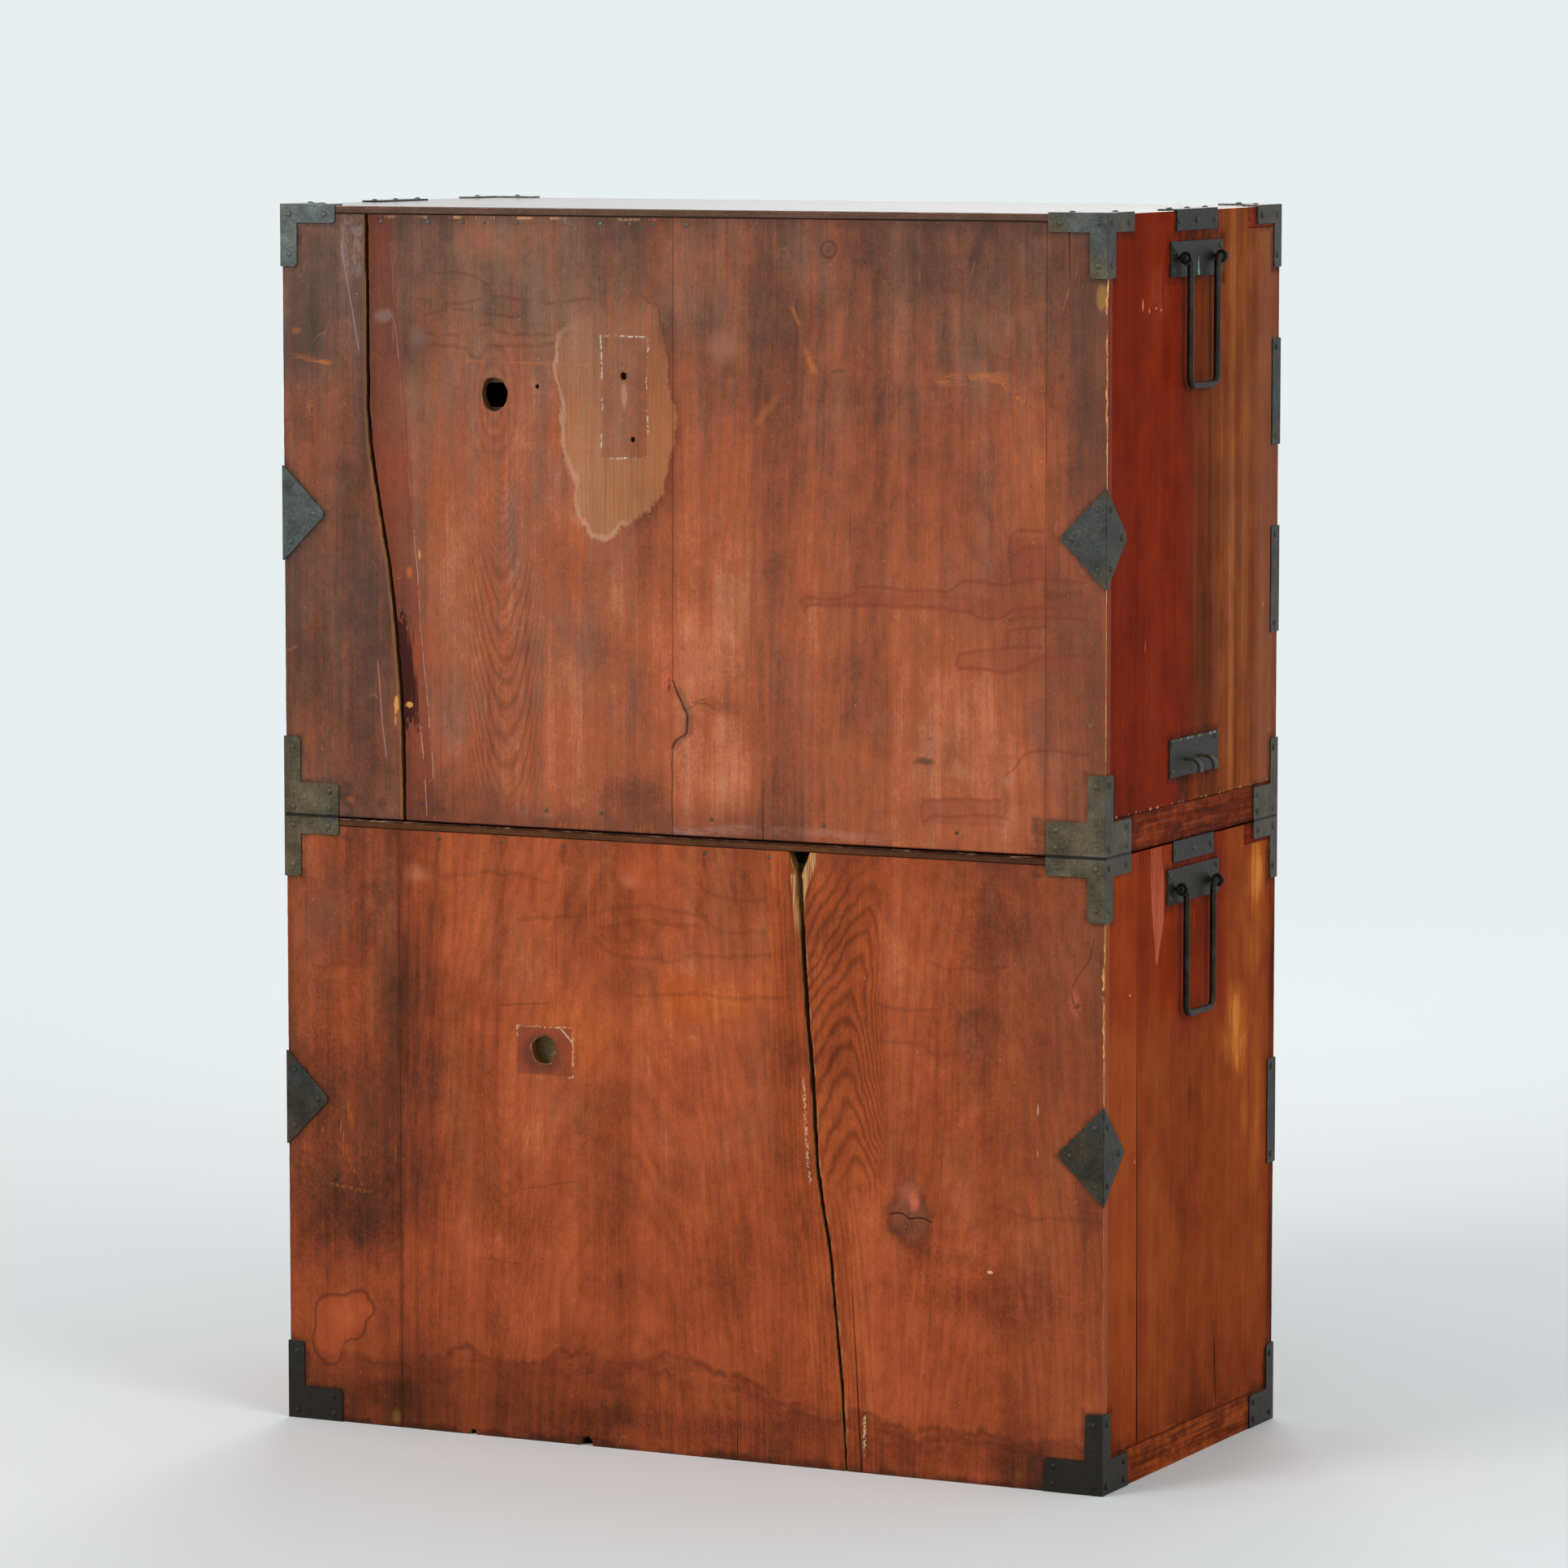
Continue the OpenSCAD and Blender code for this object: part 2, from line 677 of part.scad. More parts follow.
// Two sides, a back and a bottom, as four boards.
module drawer_box(opening) {
    z = opening[0] + drawer_float;
    height = front_h(opening);
    length = box_end - box_y;
    wall_z = z + drawer_floor + glue_gap;
    wall_h = height - drawer_floor - glue_gap;
    translate([-drawer_w / 2, box_y, z]) cube([drawer_w, length, drawer_floor]);
    both_sides() translate([drawer_w / 2 - drawer_wall, box_y, wall_z])
        cube([drawer_wall, length, wall_h]);
    back_w = drawer_w - 2 * (drawer_wall + glue_gap);
    translate([-back_w / 2, box_end - drawer_wall, wall_z]) cube([back_w, drawer_wall, wall_h]);
}

module drawer_eyes(z) {
    for (side = [-1, 1], x = [-pull_span / 2, pull_span / 2])
        translate([side * pull_from_middle + x, front_y, z]) eye(pull_rod_d, pull_out);
}

// The eyes pass through the round plates with a little room.
module drawer_roses(z) {
    for (side = [-1, 1], x = [-pull_span / 2, pull_span / 2])
        translate([side * pull_from_middle + x, front_y, z]) rotate([90, 0, 0]) difference() {
            cylinder(h = iron_t, d = rose_d);
            translate([0, 0, -1]) cylinder(h = iron_t + 2, d = eye_wire + 2 * bolt_play);
        }
}

module lock_plate(top) {
    translate([0, front_y, top - key_below]) difference() {
        rotate([90, 0, 0]) cylinder(h = iron_t, d = lock_plate_d);
        translate([0, -iron_t - 1, 0]) keyhole(iron_t + 2);
    }
}

module lock_case(top) {
    slot_w = bolt_w + 2 * bolt_play;
    slot_t = bolt_t + 2 * bolt_play;
    z = top - lock_top_gap - lock_h;
    floor_h = lock_h - bolt_h - bolt_play;
    difference() {
        translate([-lock_w / 2, box_y, z]) cube([lock_w, lock_d, lock_h]);
        translate([-slot_w / 2, bolt_y - bolt_play, z + floor_h]) cube([slot_w, slot_t, lock_h]);
    }
}

module drawer_hardware(opening, locked) {
    z = opening[0] + drawer_float;
    height = front_h(opening);
    drawer_eyes(z + height / 2 + pull_up);
    drawer_roses(z + height / 2 + pull_up);
    if (locked) {
        lock_plate(z + height);
        lock_case(z + height);
    }
}

module drawer_bolt(opening) {
    top = opening[0] + drawer_float + front_h(opening) - lock_top_gap;
    translate([-bolt_w / 2, bolt_y, top - bolt_h]) cube([bolt_w, bolt_t, bolt_h]);
}

module drawer_pull(opening, side) {
    z = opening[0] + drawer_float + front_h(opening) / 2 + pull_up;
    translate([side * pull_from_middle, front_y - pull_out, z])
        bail(pull_span, pull_leg, pull_drop, pull_rod_d, pull_rod_d);
}

// ---- lower case ----

module lower_bottom() color(lacquer_side) case_bottom();
module lower_top() color(lacquer_side) case_top(lower_h, true);
module lower_side_left() color(lacquer_side) mirror([1, 0, 0]) lower_side();
module lower_side_right() color(lacquer_side) lower_side();
module lower_back_boards() color(lacquer) lower_back();
module lower_rail() color(lacquer_side) rail(lower_h, lower_rail_1);
module lower_runners() color(bare_wood) runners(lower_h, lower_rail_1);
module lower_corner_irons() color(iron) corner_irons(lower_h);
module lower_diamond_irons() color(iron) diamond_irons(mid_below(lower_h, lower_diamond));
module lower_tie_irons() color(iron) tie_irons(mid_below(lower_h, lower_rail_1));
module lower_side_plates() color(iron) {
    face_plate(plate_len, plate_h, mid_below(lower_h, lower_plate));
    fold_plates(lower_h);
}
module lower_handle_eyes() color(iron) side_eyes(lower_h);
module lower_nails() color(iron) {
    corner_nails(lower_h);
    diamond_iron_nails(mid_below(lower_h, lower_diamond));
    tie_iron_nails(mid_below(lower_h, lower_rail_1));
    face_plate_nails(plate_len, plate_h, mid_below(lower_h, lower_plate));
    fold_plate_nails(lower_h);
    board_nails(lower_row, lower_board_h - row_below);
}
module lower_handle_left() color(iron) side_handle(left_face, lower_h);
module lower_handle_right() color(iron) side_handle(right_face, lower_h);

// ---- upper case ----

module upper_bottom() color(lacquer_side) at_upper() case_bottom();
module upper_top() color(lacquer_side) at_upper() case_top(upper_h, true);
module upper_side_left() color(lacquer_side) at_upper() mirror([1, 0, 0]) case_side(upper_h);
module upper_side_right() color(lacquer_side) at_upper() case_side(upper_h);
module upper_back_boards() color(lacquer) at_upper() upper_back();
module upper_rails() color(lacquer_side) at_upper() {
    rail(upper_h, upper_rail_1);
    rail(upper_h, upper_rail_2);
}
module upper_runners() color(bare_wood) at_upper() {
    runners(upper_h, upper_rail_1);
    runners(upper_h, upper_rail_2);
}
module upper_corner_irons() color(iron) at_upper() corner_irons(upper_h);
module upper_diamond_irons() color(iron) at_upper()
    diamond_irons(mid_below(upper_h, upper_diamond));
module upper_tie_irons() color(iron) at_upper() {
    tie_irons(mid_below(upper_h, upper_rail_1));
    tie_irons(mid_below(upper_h, upper_rail_2));
}
module upper_side_plates() color(iron) at_upper() {
    face_plate(plate_len, plate_h, mid_below(upper_h, upper_plate));
    fold_plates(upper_h);
    face_plate(catch_len, catch_h, catch_up);
}
module upper_handle_eyes() color(iron) at_upper() side_eyes(upper_h);
module upper_catch_hooks() color(iron) at_upper()
    for (face = [left_face, right_face], x = [-hook_span / 2, hook_span / 2])
        on_face(face) translate([x, 0, hook_up]) hook();
module upper_nails() color(iron) at_upper() {
    corner_nails(upper_h);
    diamond_iron_nails(mid_below(upper_h, upper_diamond));
    tie_iron_nails(mid_below(upper_h, upper_rail_1));
    tie_iron_nails(mid_below(upper_h, upper_rail_2));
    face_plate_nails(plate_len, plate_h, mid_below(upper_h, upper_plate));
    fold_plate_nails(upper_h);
    face_plate_nails(catch_len, catch_h, catch_up);
    top_face_nails(upper_h);
    board_nails(upper_row, upper_board_h - row_below);
    board_nails(foot_row, bottom_t / 2);
}
module upper_handle_left() color(iron) at_upper() side_handle(left_face, upper_h);
module upper_handle_right() color(iron) at_upper() side_handle(right_face, upper_h);

// ---- drawers, counted from the top ----

module drawer_1_front() color(lacquer_side) at_upper() drawer_front(opening_1, true);
module drawer_1_box() color(bare_wood) at_upper() drawer_box(opening_1);
module drawer_1_hardware() color(iron) at_upper() drawer_hardware(opening_1, true);
module drawer_1_bolt() color(iron) at_upper() drawer_bolt(opening_1);
module drawer_1_pull_left() color(iron) at_upper() drawer_pull(opening_1, -1);
module drawer_1_pull_right() color(iron) at_upper() drawer_pull(opening_1, 1);
module drawer_2_front() color(lacquer_side) at_upper() drawer_front(opening_2, false);
module drawer_2_box() color(bare_wood) at_upper() drawer_box(opening_2);
module drawer_2_hardware() color(iron) at_upper() drawer_hardware(opening_2, false);
module drawer_2_pull_left() color(iron) at_upper() drawer_pull(opening_2, -1);
module drawer_2_pull_right() color(iron) at_upper() drawer_pull(opening_2, 1);
module drawer_3_front() color(lacquer_side) at_upper() drawer_front(opening_3, false);
module drawer_3_box() color(bare_wood) at_upper() drawer_box(opening_3);
module drawer_3_hardware() color(iron) at_upper() drawer_hardware(opening_3, false);
module drawer_3_pull_left() color(iron) at_upper() drawer_pull(opening_3, -1);
module drawer_3_pull_right() color(iron) at_upper() drawer_pull(opening_3, 1);
module drawer_4_front() color(lacquer_side) drawer_front(opening_4, true);
module drawer_4_box() color(bare_wood) drawer_box(opening_4);
module drawer_4_hardware() color(iron) drawer_hardware(opening_4, true);
module drawer_4_bolt() color(iron) drawer_bolt(opening_4);
module drawer_4_pull_left() color(iron) drawer_pull(opening_4, -1);
module drawer_4_pull_right() color(iron) drawer_pull(opening_4, 1);
module drawer_5_front() color(lacquer_side) drawer_front(opening_5, false);
module drawer_5_box() color(bare_wood) drawer_box(opening_5);
module drawer_5_hardware() color(iron) drawer_hardware(opening_5, false);
module drawer_5_pull_left() color(iron) drawer_pull(opening_5, -1);
module drawer_5_pull_right() color(iron) drawer_pull(opening_5, 1);

lower_bottom();
lower_top();
lower_side_left();
lower_side_right();
lower_back_boards();
lower_rail();
lower_runners();
lower_corner_irons();
lower_diamond_irons();
lower_tie_irons();
lower_side_plates();
lower_handle_eyes();
lower_nails();
lower_handle_left();
lower_handle_right();
upper_bottom();
upper_top();
upper_side_left();
upper_side_right();
upper_back_boards();
upper_rails();
upper_runners();
upper_corner_irons();
upper_diamond_irons();
upper_tie_irons();
upper_side_plates();
upper_handle_eyes();
upper_catch_hooks();
upper_nails();
upper_handle_left();
upper_handle_right();
drawer_1_front();
drawer_1_box();
drawer_1_hardware();
drawer_1_bolt();
drawer_1_pull_left();
drawer_1_pull_right();
drawer_2_front();
drawer_2_box();
drawer_2_hardware();
drawer_2_pull_left();
drawer_2_pull_right();
drawer_3_front();
drawer_3_box();
drawer_3_hardware();
drawer_3_pull_left();
drawer_3_pull_right();
drawer_4_front();
drawer_4_box();
drawer_4_hardware();
drawer_4_bolt();
drawer_4_pull_left();
drawer_4_pull_right();
drawer_5_front();
drawer_5_box();
drawer_5_hardware();
drawer_5_pull_left();
drawer_5_pull_right();
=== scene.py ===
"""Looks of the stacking chest: materials, light, camera, and finer meshes of the backs and nail heads."""

import math
import random
from functools import reduce

import bmesh
import bpy
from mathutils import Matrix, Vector, noise


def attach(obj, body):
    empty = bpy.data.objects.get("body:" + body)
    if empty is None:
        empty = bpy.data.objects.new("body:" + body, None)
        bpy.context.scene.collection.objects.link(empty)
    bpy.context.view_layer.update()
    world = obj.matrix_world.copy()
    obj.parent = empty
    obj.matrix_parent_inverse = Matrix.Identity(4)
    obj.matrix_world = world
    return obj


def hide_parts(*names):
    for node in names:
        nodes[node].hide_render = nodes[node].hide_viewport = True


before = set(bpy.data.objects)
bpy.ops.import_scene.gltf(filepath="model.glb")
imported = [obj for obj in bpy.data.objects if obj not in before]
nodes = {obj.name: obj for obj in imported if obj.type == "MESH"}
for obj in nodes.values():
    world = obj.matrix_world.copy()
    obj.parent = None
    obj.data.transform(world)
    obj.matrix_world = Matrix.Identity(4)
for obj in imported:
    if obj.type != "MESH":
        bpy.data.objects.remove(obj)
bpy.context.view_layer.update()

# Measures of the wood and the irons are in millimetres, those of floor, lights and camera in metres
MM = 0.001
HALF_W, HALF_D = 442.5, 212.0  # the cases, from their middle
BACK_IN = 200.0  # inner face of the back boards
LOWER_TOP = 598.0  # upper ends of the lower back boards
UPPER_Z, UPPER_TOP = 607.5, 1202.0  # both ends of the upper back boards
MERGE = 1e-6  # metres below which two vertices are one


# ---------------------------------------------------------------- colours and shader arithmetic


def rgb(r, g, b):
    """A screen colour in 0..255 as the linear colour that a shader takes."""

    def one(v):
        v /= 255
        return v / 12.92 if v <= 0.04045 else ((v + 0.055) / 1.055) ** 2.4

    return one(r), one(g), one(b), 1.0


class Value:
    """One output inside a material, with arithmetic on it."""

    def __init__(self, shade, socket):
        self.s, self.socket = shade, socket

    def __add__(self, o):
        return self.s.math("ADD", self, o)

    def __sub__(self, o):
        return self.s.math("SUBTRACT", self, o)

    def __rsub__(self, o):
        return self.s.math("SUBTRACT", o, self)

    def __mul__(self, o):
        return self.s.math("MULTIPLY", self, o)

    def __pow__(self, o):
        return self.s.math("POWER", self, o)

    def __abs__(self):
        return self.s.math("ABSOLUTE", self)

    __radd__, __rmul__ = __add__, __mul__

    def most(self, o):
        return self.s.math("MAXIMUM", self, o)

    def least(self, o):
        return self.s.math("MINIMUM", self, o)

    def spots(self, *places):
        """This mask, or a spot of Wood.spots wherever that is stronger."""
        return reduce(Value.most, self.s.each_spot(places), self)


kits = {}


class Shade:
    """A material under construction. X, Y and Z are the place on the object in millimetres.

    Each of them is read through a linear gradient, and noise takes its place from a Mapping node. So the
    graph holds no conversion from a point to a vector, and the renderer needs little room for a long one.
    """

    P = ("X", "Y", "Z")
    SPAN = 4000.0

    def __init__(self, name):
        self.mat = bpy.data.materials.new(name)
        self.mat.use_nodes = True
        self.tree = self.mat.node_tree
        self.tree.nodes.clear()
        self.place = Value(self, self.node("TexCoord").outputs["Object"])
        quarter = math.pi / 2
        turns = (0, 0, 0), (0, 0, -quarter), (0, quarter, 0)
        self.X, self.Y, self.Z = (self.coordinate(turn) for turn in turns)

    @classmethod
    def within(cls, tree):
        """Nodes and arithmetic in a tree that has no surface of its own."""
        shade = cls.__new__(cls)
        shade.tree = tree
        return shade

    def coordinate(self, turn):
        """One coordinate in millimetres: the place, turned until the gradient runs along it."""
        scale = (1 / (MM * self.SPAN),) * 3
        moved = self.node("Mapping", {"Vector": self.place, "Scale": scale, "Rotation": turn,
            "Location": (0.5, 0.5, 0.5)})
        share = self.node("TexGradient", {0: Value(self, moved.outputs[0])})
        return self.math("MULTIPLY_ADD", Value(self, share.outputs["Fac"]), self.SPAN, -self.SPAN / 2)

    def put(self, socket, value):
        if isinstance(value, Value):
            self.tree.links.new(value.socket, socket)
        else:
            socket.default_value = value

    def node(self, kind, inputs=None, **settings):
        n = self.tree.nodes.new("ShaderNode" + kind)
        for k, v in settings.items():
            setattr(n, k, v)
        for k, v in (inputs or {}).items():
            self.put(n.inputs[k], v)
        return n

    def kit(self, name, build, *values):
        """The number that a shared node group gives for these values. build makes the group on first use."""
        if name not in kits:
            tree = kits[name] = bpy.data.node_groups.new(name, "ShaderNodeTree")
            for i in range(len(values)):
                tree.interface.new_socket("in%d" % i, in_out="INPUT", socket_type="NodeSocketFloat")
            tree.interface.new_socket("out", in_out="OUTPUT", socket_type="NodeSocketFloat")
            inner = Shade.within(tree)
            given = tree.nodes.new("NodeGroupInput").outputs
            result = build(inner, *(Value(inner, given[i]) for i in range(len(values))))
            tree.links.new(result.socket, tree.nodes.new("NodeGroupOutput").inputs[0])
        n = self.tree.nodes.new("ShaderNodeGroup")
        n.node_tree = kits[name]
        for i, v in enumerate(values):
            self.put(n.inputs[i], v)
        return Value(self, n.outputs[0])

    def math(self, operation, a, b=0.0, c=0.0):
        return Value(self, self.node("Math", {0: a, 1: b, 2: c}, operation=operation).outputs[0])

    def join(self, x, y, z):
        return Value(self, self.node("CombineXYZ", {0: x, 1: y, 2: z}).outputs[0])

    def sine(self, v):
        return self.math("SINE", v)

    def rise(self, v, a, b):
        """0 at a, 1 at b, smooth between and flat beyond."""
        named = {"Value": v, "From Min": a, "From Max": b}
        n = self.node("MapRange", named, interpolation_type="SMOOTHSTEP", clamp=False)
        return Value(self, n.outputs[0])

    def near(self, v, centre, half, soft):
        """1 within half of the centre, falling to 0 over soft."""

        def build(t, v, c, outer, inner):
            return t.rise(abs(v - c), outer, inner)

        return self.kit("near", build, v, centre, half + soft, half)

    def between(self, v, a, b, soft):
        return self.near(v, (a + b) / 2, abs(b - a) / 2, soft)

    def noise(self, vec, by, shift=(0, 0, 0), detail=2.0, rough=0.5, bend=0.0):
        """Noise about 0.5. by is the size of its lumps along the axes that vec names, or along a vector."""
        if isinstance(vec, tuple):
            size, move = dict(zip(vec, by)), dict(zip(vec, shift))
            scale = tuple(1 / (MM * size[axis]) for axis in self.P)
            place = self.node("Mapping", {"Vector": self.place, "Scale": scale,
                "Location": tuple(move[a] for a in self.P)})
        else:
            place = self.node("VectorMath", {0: vec, 1: tuple(1 / b for b in by), 2: shift},
                operation="MULTIPLY_ADD")
        named = {"Vector": Value(self, place.outputs[0]), "Detail": detail, "Roughness": rough, "Scale": 1.0}
        if bend:
            named["Distortion"] = bend
        return Value(self, self.node("TexNoise", named).outputs[0])

    def noise1(self, v, by, shift=0.0, detail=1.0):
        """Noise about 0.5 along one number, in lumps of the size by."""
        named = {"W": v * (1 / by) + shift, "Scale": 1.0, "Detail": detail}
        return Value(self, self.node("TexNoise", named, noise_dimensions="1D").outputs[0])

    def patches(self, low, high, by, shift, detail=2.0, rough=0.5):
        """Mask of the lumps of noise: 0 where it is below low, 1 above high."""
        return self.rise(self.noise(self.P, by, shift, detail, rough), low, high)

    def curve(self, v, points, straight=False):
        """y at v on a smooth line through points (v, y), in their own units."""
        points = sorted(points)
        x0, x1 = points[0][0], points[-1][0]
        ys = [p[1] for p in points]
        y0, y1 = min(ys), max(ys) if max(ys) > min(ys) else min(ys) + 1
        k = 1 / (x1 - x0)
        n = self.node("FloatCurve", {"Value": self.math("MULTIPLY_ADD", v, k, -x0 * k)})
        n.mapping.extend = "HORIZONTAL"
        line = n.mapping.curves[0]
        for _ in points[2:]:
            line.points.new(0.5, 0.5)
        for p, (x, y) in zip(line.points, points):
            p.location = ((x - x0) / (x1 - x0), (y - y0) / (y1 - y0))
            p.handle_type = "VECTOR" if straight else "AUTO_CLAMPED"
        n.mapping.update()
        return self.math("MULTIPLY_ADD", Value(self, n.outputs[0]), y1 - y0, y0)

    def ramp(self, v, stops):
        """The colour at v, from stops (place, red, green, blue)."""
        n = self.node("ValToRGB", {0: v})
        entries = n.color_ramp.elements
        for _ in stops[2:]:
            entries.new(0.5)
        for e, (at, *tone) in zip(entries, stops):
            e.position, e.color = at, rgb(*tone)
        return Value(self, n.outputs[0])

    def mix(self, share, a, b):
        n = self.node("Mix", data_type="RGBA", blend_type="MIX")
        for i, v in ((0, share), (6, a), (7, b)):
            self.put(n.inputs[i], v)
        return Value(self, n.outputs[2])

    def dimmed(self, colour, share, strength):
        return self.mix(share * strength, colour, (0, 0, 0, 1))

    def darken(self, share, strength):
        """Darkens the surface where share says so."""
        self.colour = self.dimmed(self.colour, share, strength)

    def paint(self, share, *tone):
        """Covers the surface by share with a tone: red, green, blue in 0..255, or one shader colour."""
        self.colour = self.mix(share, self.colour, rgb(*tone) if len(tone) == 3 else tone[0])

    def finish(self, rough, height, **settings):
        """Principled surface in the painted colour. height is in millimetres."""
        bsdf = self.node("BsdfPrincipled", {"Base Color": self.colour, "Roughness": rough})
        for k, v in settings.items():
            self.put(bsdf.inputs[k.replace("_", " ")], v)
        bump = self.node("Bump", {"Height": height, "Distance": MM, "Strength": 1.0})
        self.tree.links.new(bump.outputs[0], bsdf.inputs["Normal"])
        out = self.node("OutputMaterial")
        self.tree.links.new(bsdf.outputs[0], out.inputs["Surface"])
        return self.mat


# ---------------------------------------------------------------- marks that wood can carry


class Wood(Shade):
    """A board's surface: C runs across the grain, A along it and D into the board, all in millimetres."""

    def __init__(self, name, across="X", along="Z", depth="Y"):
        super().__init__(name)
        axis = {"X": self.X, "Y": self.Y, "Z": self.Z}
        self.C, self.A, self.D = axis[across], axis[along], axis[depth]
        self.Q = (across, depth, along)
        self.wob = self.noise(self.Q, (40, 40, 70), (3, 1, 7), 3, 0.6) - 0.5
        self.grit = self.noise(self.Q, (2.2, 2.2, 3.5), (9, 4, 2), 3, 0.65)

    def figure(self, heart, lean, spacing, seed):
        """Ring lines of a log whose heart runs under the board: 1 on the dark late wood."""
        warp = (self.noise(self.Q, (70, 70, 320), (seed, 2, 5), 2) - 0.5) * 46
        side = self.C - heart + warp
        deep = self.A * lean + 30 + (self.noise(self.Q, (45, 45, 150), (seed, 8, 1), 2) - 0.5) * 30
        r = (side * side + deep * deep) ** 0.5
        wave = self.sine(r * (2 * math.pi / spacing)) * 0.5 + 0.5
        return wave * wave

    def lengthwise(self, width, length, seed, detail=2.0, bend=0.0):
        """Streaks along the grain, about 0."""
        return self.noise(self.Q, (width, width, length), (seed, seed * 1.7, 0.3), detail, 0.55, bend) - 0.5

    def streaks(self, low, high, width, length, seed, detail=2.0):
        """Mask of streaks along the grain: 0 where their noise is below low, 1 above high."""
        return self.rise(self.lengthwise(width, length, seed, detail) + 0.5, low, high)

    def line(self, over, at, points, half, soft, wobble=0.0):
        """Mask of a line where `over` = f(`at`), drawn only as far as its points go."""
        lo, hi = min(p[0] for p in points), max(p[0] for p in points)

        def build(t, over, curve, wob, wobble, outer, inner, at, middle, reach, past):
            off = over - curve + wob * wobble
            return t.rise(abs(off), outer, inner) * t.rise(abs(at - middle), past, reach)

        reach = (hi - lo) / 2
        return self.kit("line", build, over, self.curve(at, points), self.wob, wobble, half + soft, half,
                        at, (lo + hi) / 2, reach, reach + 3.0)

    def spot(self, x, z, rx, rz, soft=1.0, ragged=0.25):
        """Mask of an oval patch with a ragged edge; soft is the share of its radius that fades."""

        def build(t, over, at, grit, wob, x, z, rx, rz, ragged, inner):
            dx, dz = (over - x) * rx, (at - z) * rz
            return t.rise((dx * dx + dz * dz) ** 0.5 + (grit - 0.5 + wob * 2) * ragged, 1.0, inner)

        return self.kit("oval", build, self.C, self.A, self.grit, self.wob, x, z, 1 / rx, 1 / rz, ragged,
                        1.0 - soft)

    def each_spot(self, places):
        for x, z, rx, rz, soft, ragged, strength in places:
            one = self.spot(x, z, rx, rz, soft, ragged)
            yield one if strength == 1 else one * strength

    def spots(self, *places):
        """The strongest of several spots: (x, z, radius across, radius along, soft, ragged, strength)."""
        return reduce(Value.most, self.each_spot(places))

    def clouds(self, tone, ragged, places):
        """The tone changed in soft ovals, each (x, z, radius across, radius along, change)."""
        for x, z, rx, rz, by in places:
            tone = tone + self.spot(x, z, rx, rz, ragged=ragged) * by
        return tone

    def scratch(self, a, b, half, soft, ragged=0.6):
        """Mask of a short straight mark between two (across, along) places."""
        dx, dz = b[0] - a[0], b[1] - a[1]
        length = math.hypot(dx, dz)

        def build(t, c, a, grit, wob, x, z, cos, sin, wave, rag, outer, inner, reach, past):
            x, z = c - x, a - z
            u, v = x * cos + z * sin, z * cos - x * sin
            v = abs(v + wob * wave) + (grit - 0.5) * rag
            return t.rise(v, outer, inner) * t.rise(abs(u - reach), past, reach)

        return self.kit("scratch", build, self.C, self.A, self.grit, self.wob, a[0], a[1], dx / length,
            dz / length, half * 4, ragged * half * 4, half + soft, half, length / 2, length / 2 + soft * 2)

    def outline(self, centre, points):
        """Millimetres inside a closed outline round the centre; below 0 outside it."""
        x, z = self.C - centre[0], self.A - centre[1]
        turn = self.math("ARCTAN2", z, x)
        polar = sorted(
            (math.atan2(p[1] - centre[1], p[0] - centre[0]), math.dist(p, centre)) for p in points
        )
        joint = (polar[0][1] + polar[-1][1]) / 2
        polar = [(-math.pi, joint)] + polar + [(math.pi, joint)]
        return self.curve(turn, polar) - (x * x + z * z) ** 0.5 + self.wob * 14

    def rule(self, a, b, corner_a, corner_b):
        """Millimetres outside a rectangle between two corners; below 0 inside it."""
        mx, mz = (corner_a[0] + corner_b[0]) / 2, (corner_a[1] + corner_b[1]) / 2
        hx, hz = abs(corner_b[0] - corner_a[0]) / 2, abs(corner_b[1] - corner_a[1]) / 2

        def build(t, a, b, mx, mz, hx, hz):
            return (abs(a - mx) - hx).most(abs(b - mz) - hz)

        return self.kit("outside", build, a, b, mx, mz, hx, hz)


def grain_tone(s, seed, stripes, mottle):
    """Light and dark of stained softwood about 0: long streaks along the grain, clouds and fine speckle."""
    tone = s.lengthwise(90, 340, seed, 2) * 0.42 + s.lengthwise(20, 620, seed + 1, 2, 0.4) * 0.40 * stripes
    tone = tone + s.lengthwise(6, 200, seed + 2, 3, 0.6) * 0.22 * stripes + s.lengthwise(1.5, 90,
        seed + 3, 2) * 0.25
    tone = tone + (s.noise(s.Q, (60, 60, 84), (seed, 4, 1), 4, 0.60) - 0.5) * 0.58 * mottle
    tone = tone + (s.noise(s.Q, (9, 9, 12), (seed, 9, 3), 3, 0.6) - 0.5) * 0.24 * mottle
    return tone + (s.grit - 0.5) * 0.34


def hairlines(s, seed):
    """Mask of fine scratches, most of them along the grain."""
    along = s.rise(s.noise(s.Q, (1.3, 1.3, 46), (seed, 2, 7), 1), 0.76, 0.84)
    slanting = s.noise(s.Q, (60, 60, 190), (seed, 5, 5), 1)
    slanting = s.rise(abs(slanting - 0.5), 0.0035, 0.0012) * s.patches(0.56, 0.66,
        (30, 30, 30), (seed, 8, 1), 1)
    return along.most(slanting * 0.6)


def fine_marks(s, seed, strength, tone, *grains):
    """Hair scratches, then specks or pits: (low, high, size, shift, strength, tone)."""
    s.paint(hairlines(s, seed) * strength, *tone)
    for low, high, size, shift, strength, tone in grains:
        s.paint(s.patches(low, high, (size,) * 3, shift, 1) * strength, *tone)


def nested(s, axis, slope_left, slope_right, soft, period, seed, sign=1):
    """Nested arches along a leaning axis: 1 on their dark lines. sign -1 turns them upside down."""
    off = s.C - axis
    p, q = (slope_left - slope_right) / 2, (slope_left + slope_right) / 2
    warp = (s.noise(s.Q, (26, 26, 60), (seed, 1, 1), 2) - 0.5) * period * 1.3
    f = s.A * sign + off * p + ((off * off + soft * soft) ** 0.5) * q + warp
    wave = s.sine(f * (2 * math.pi / period)) * 0.5 + 0.5
    return wave * wave


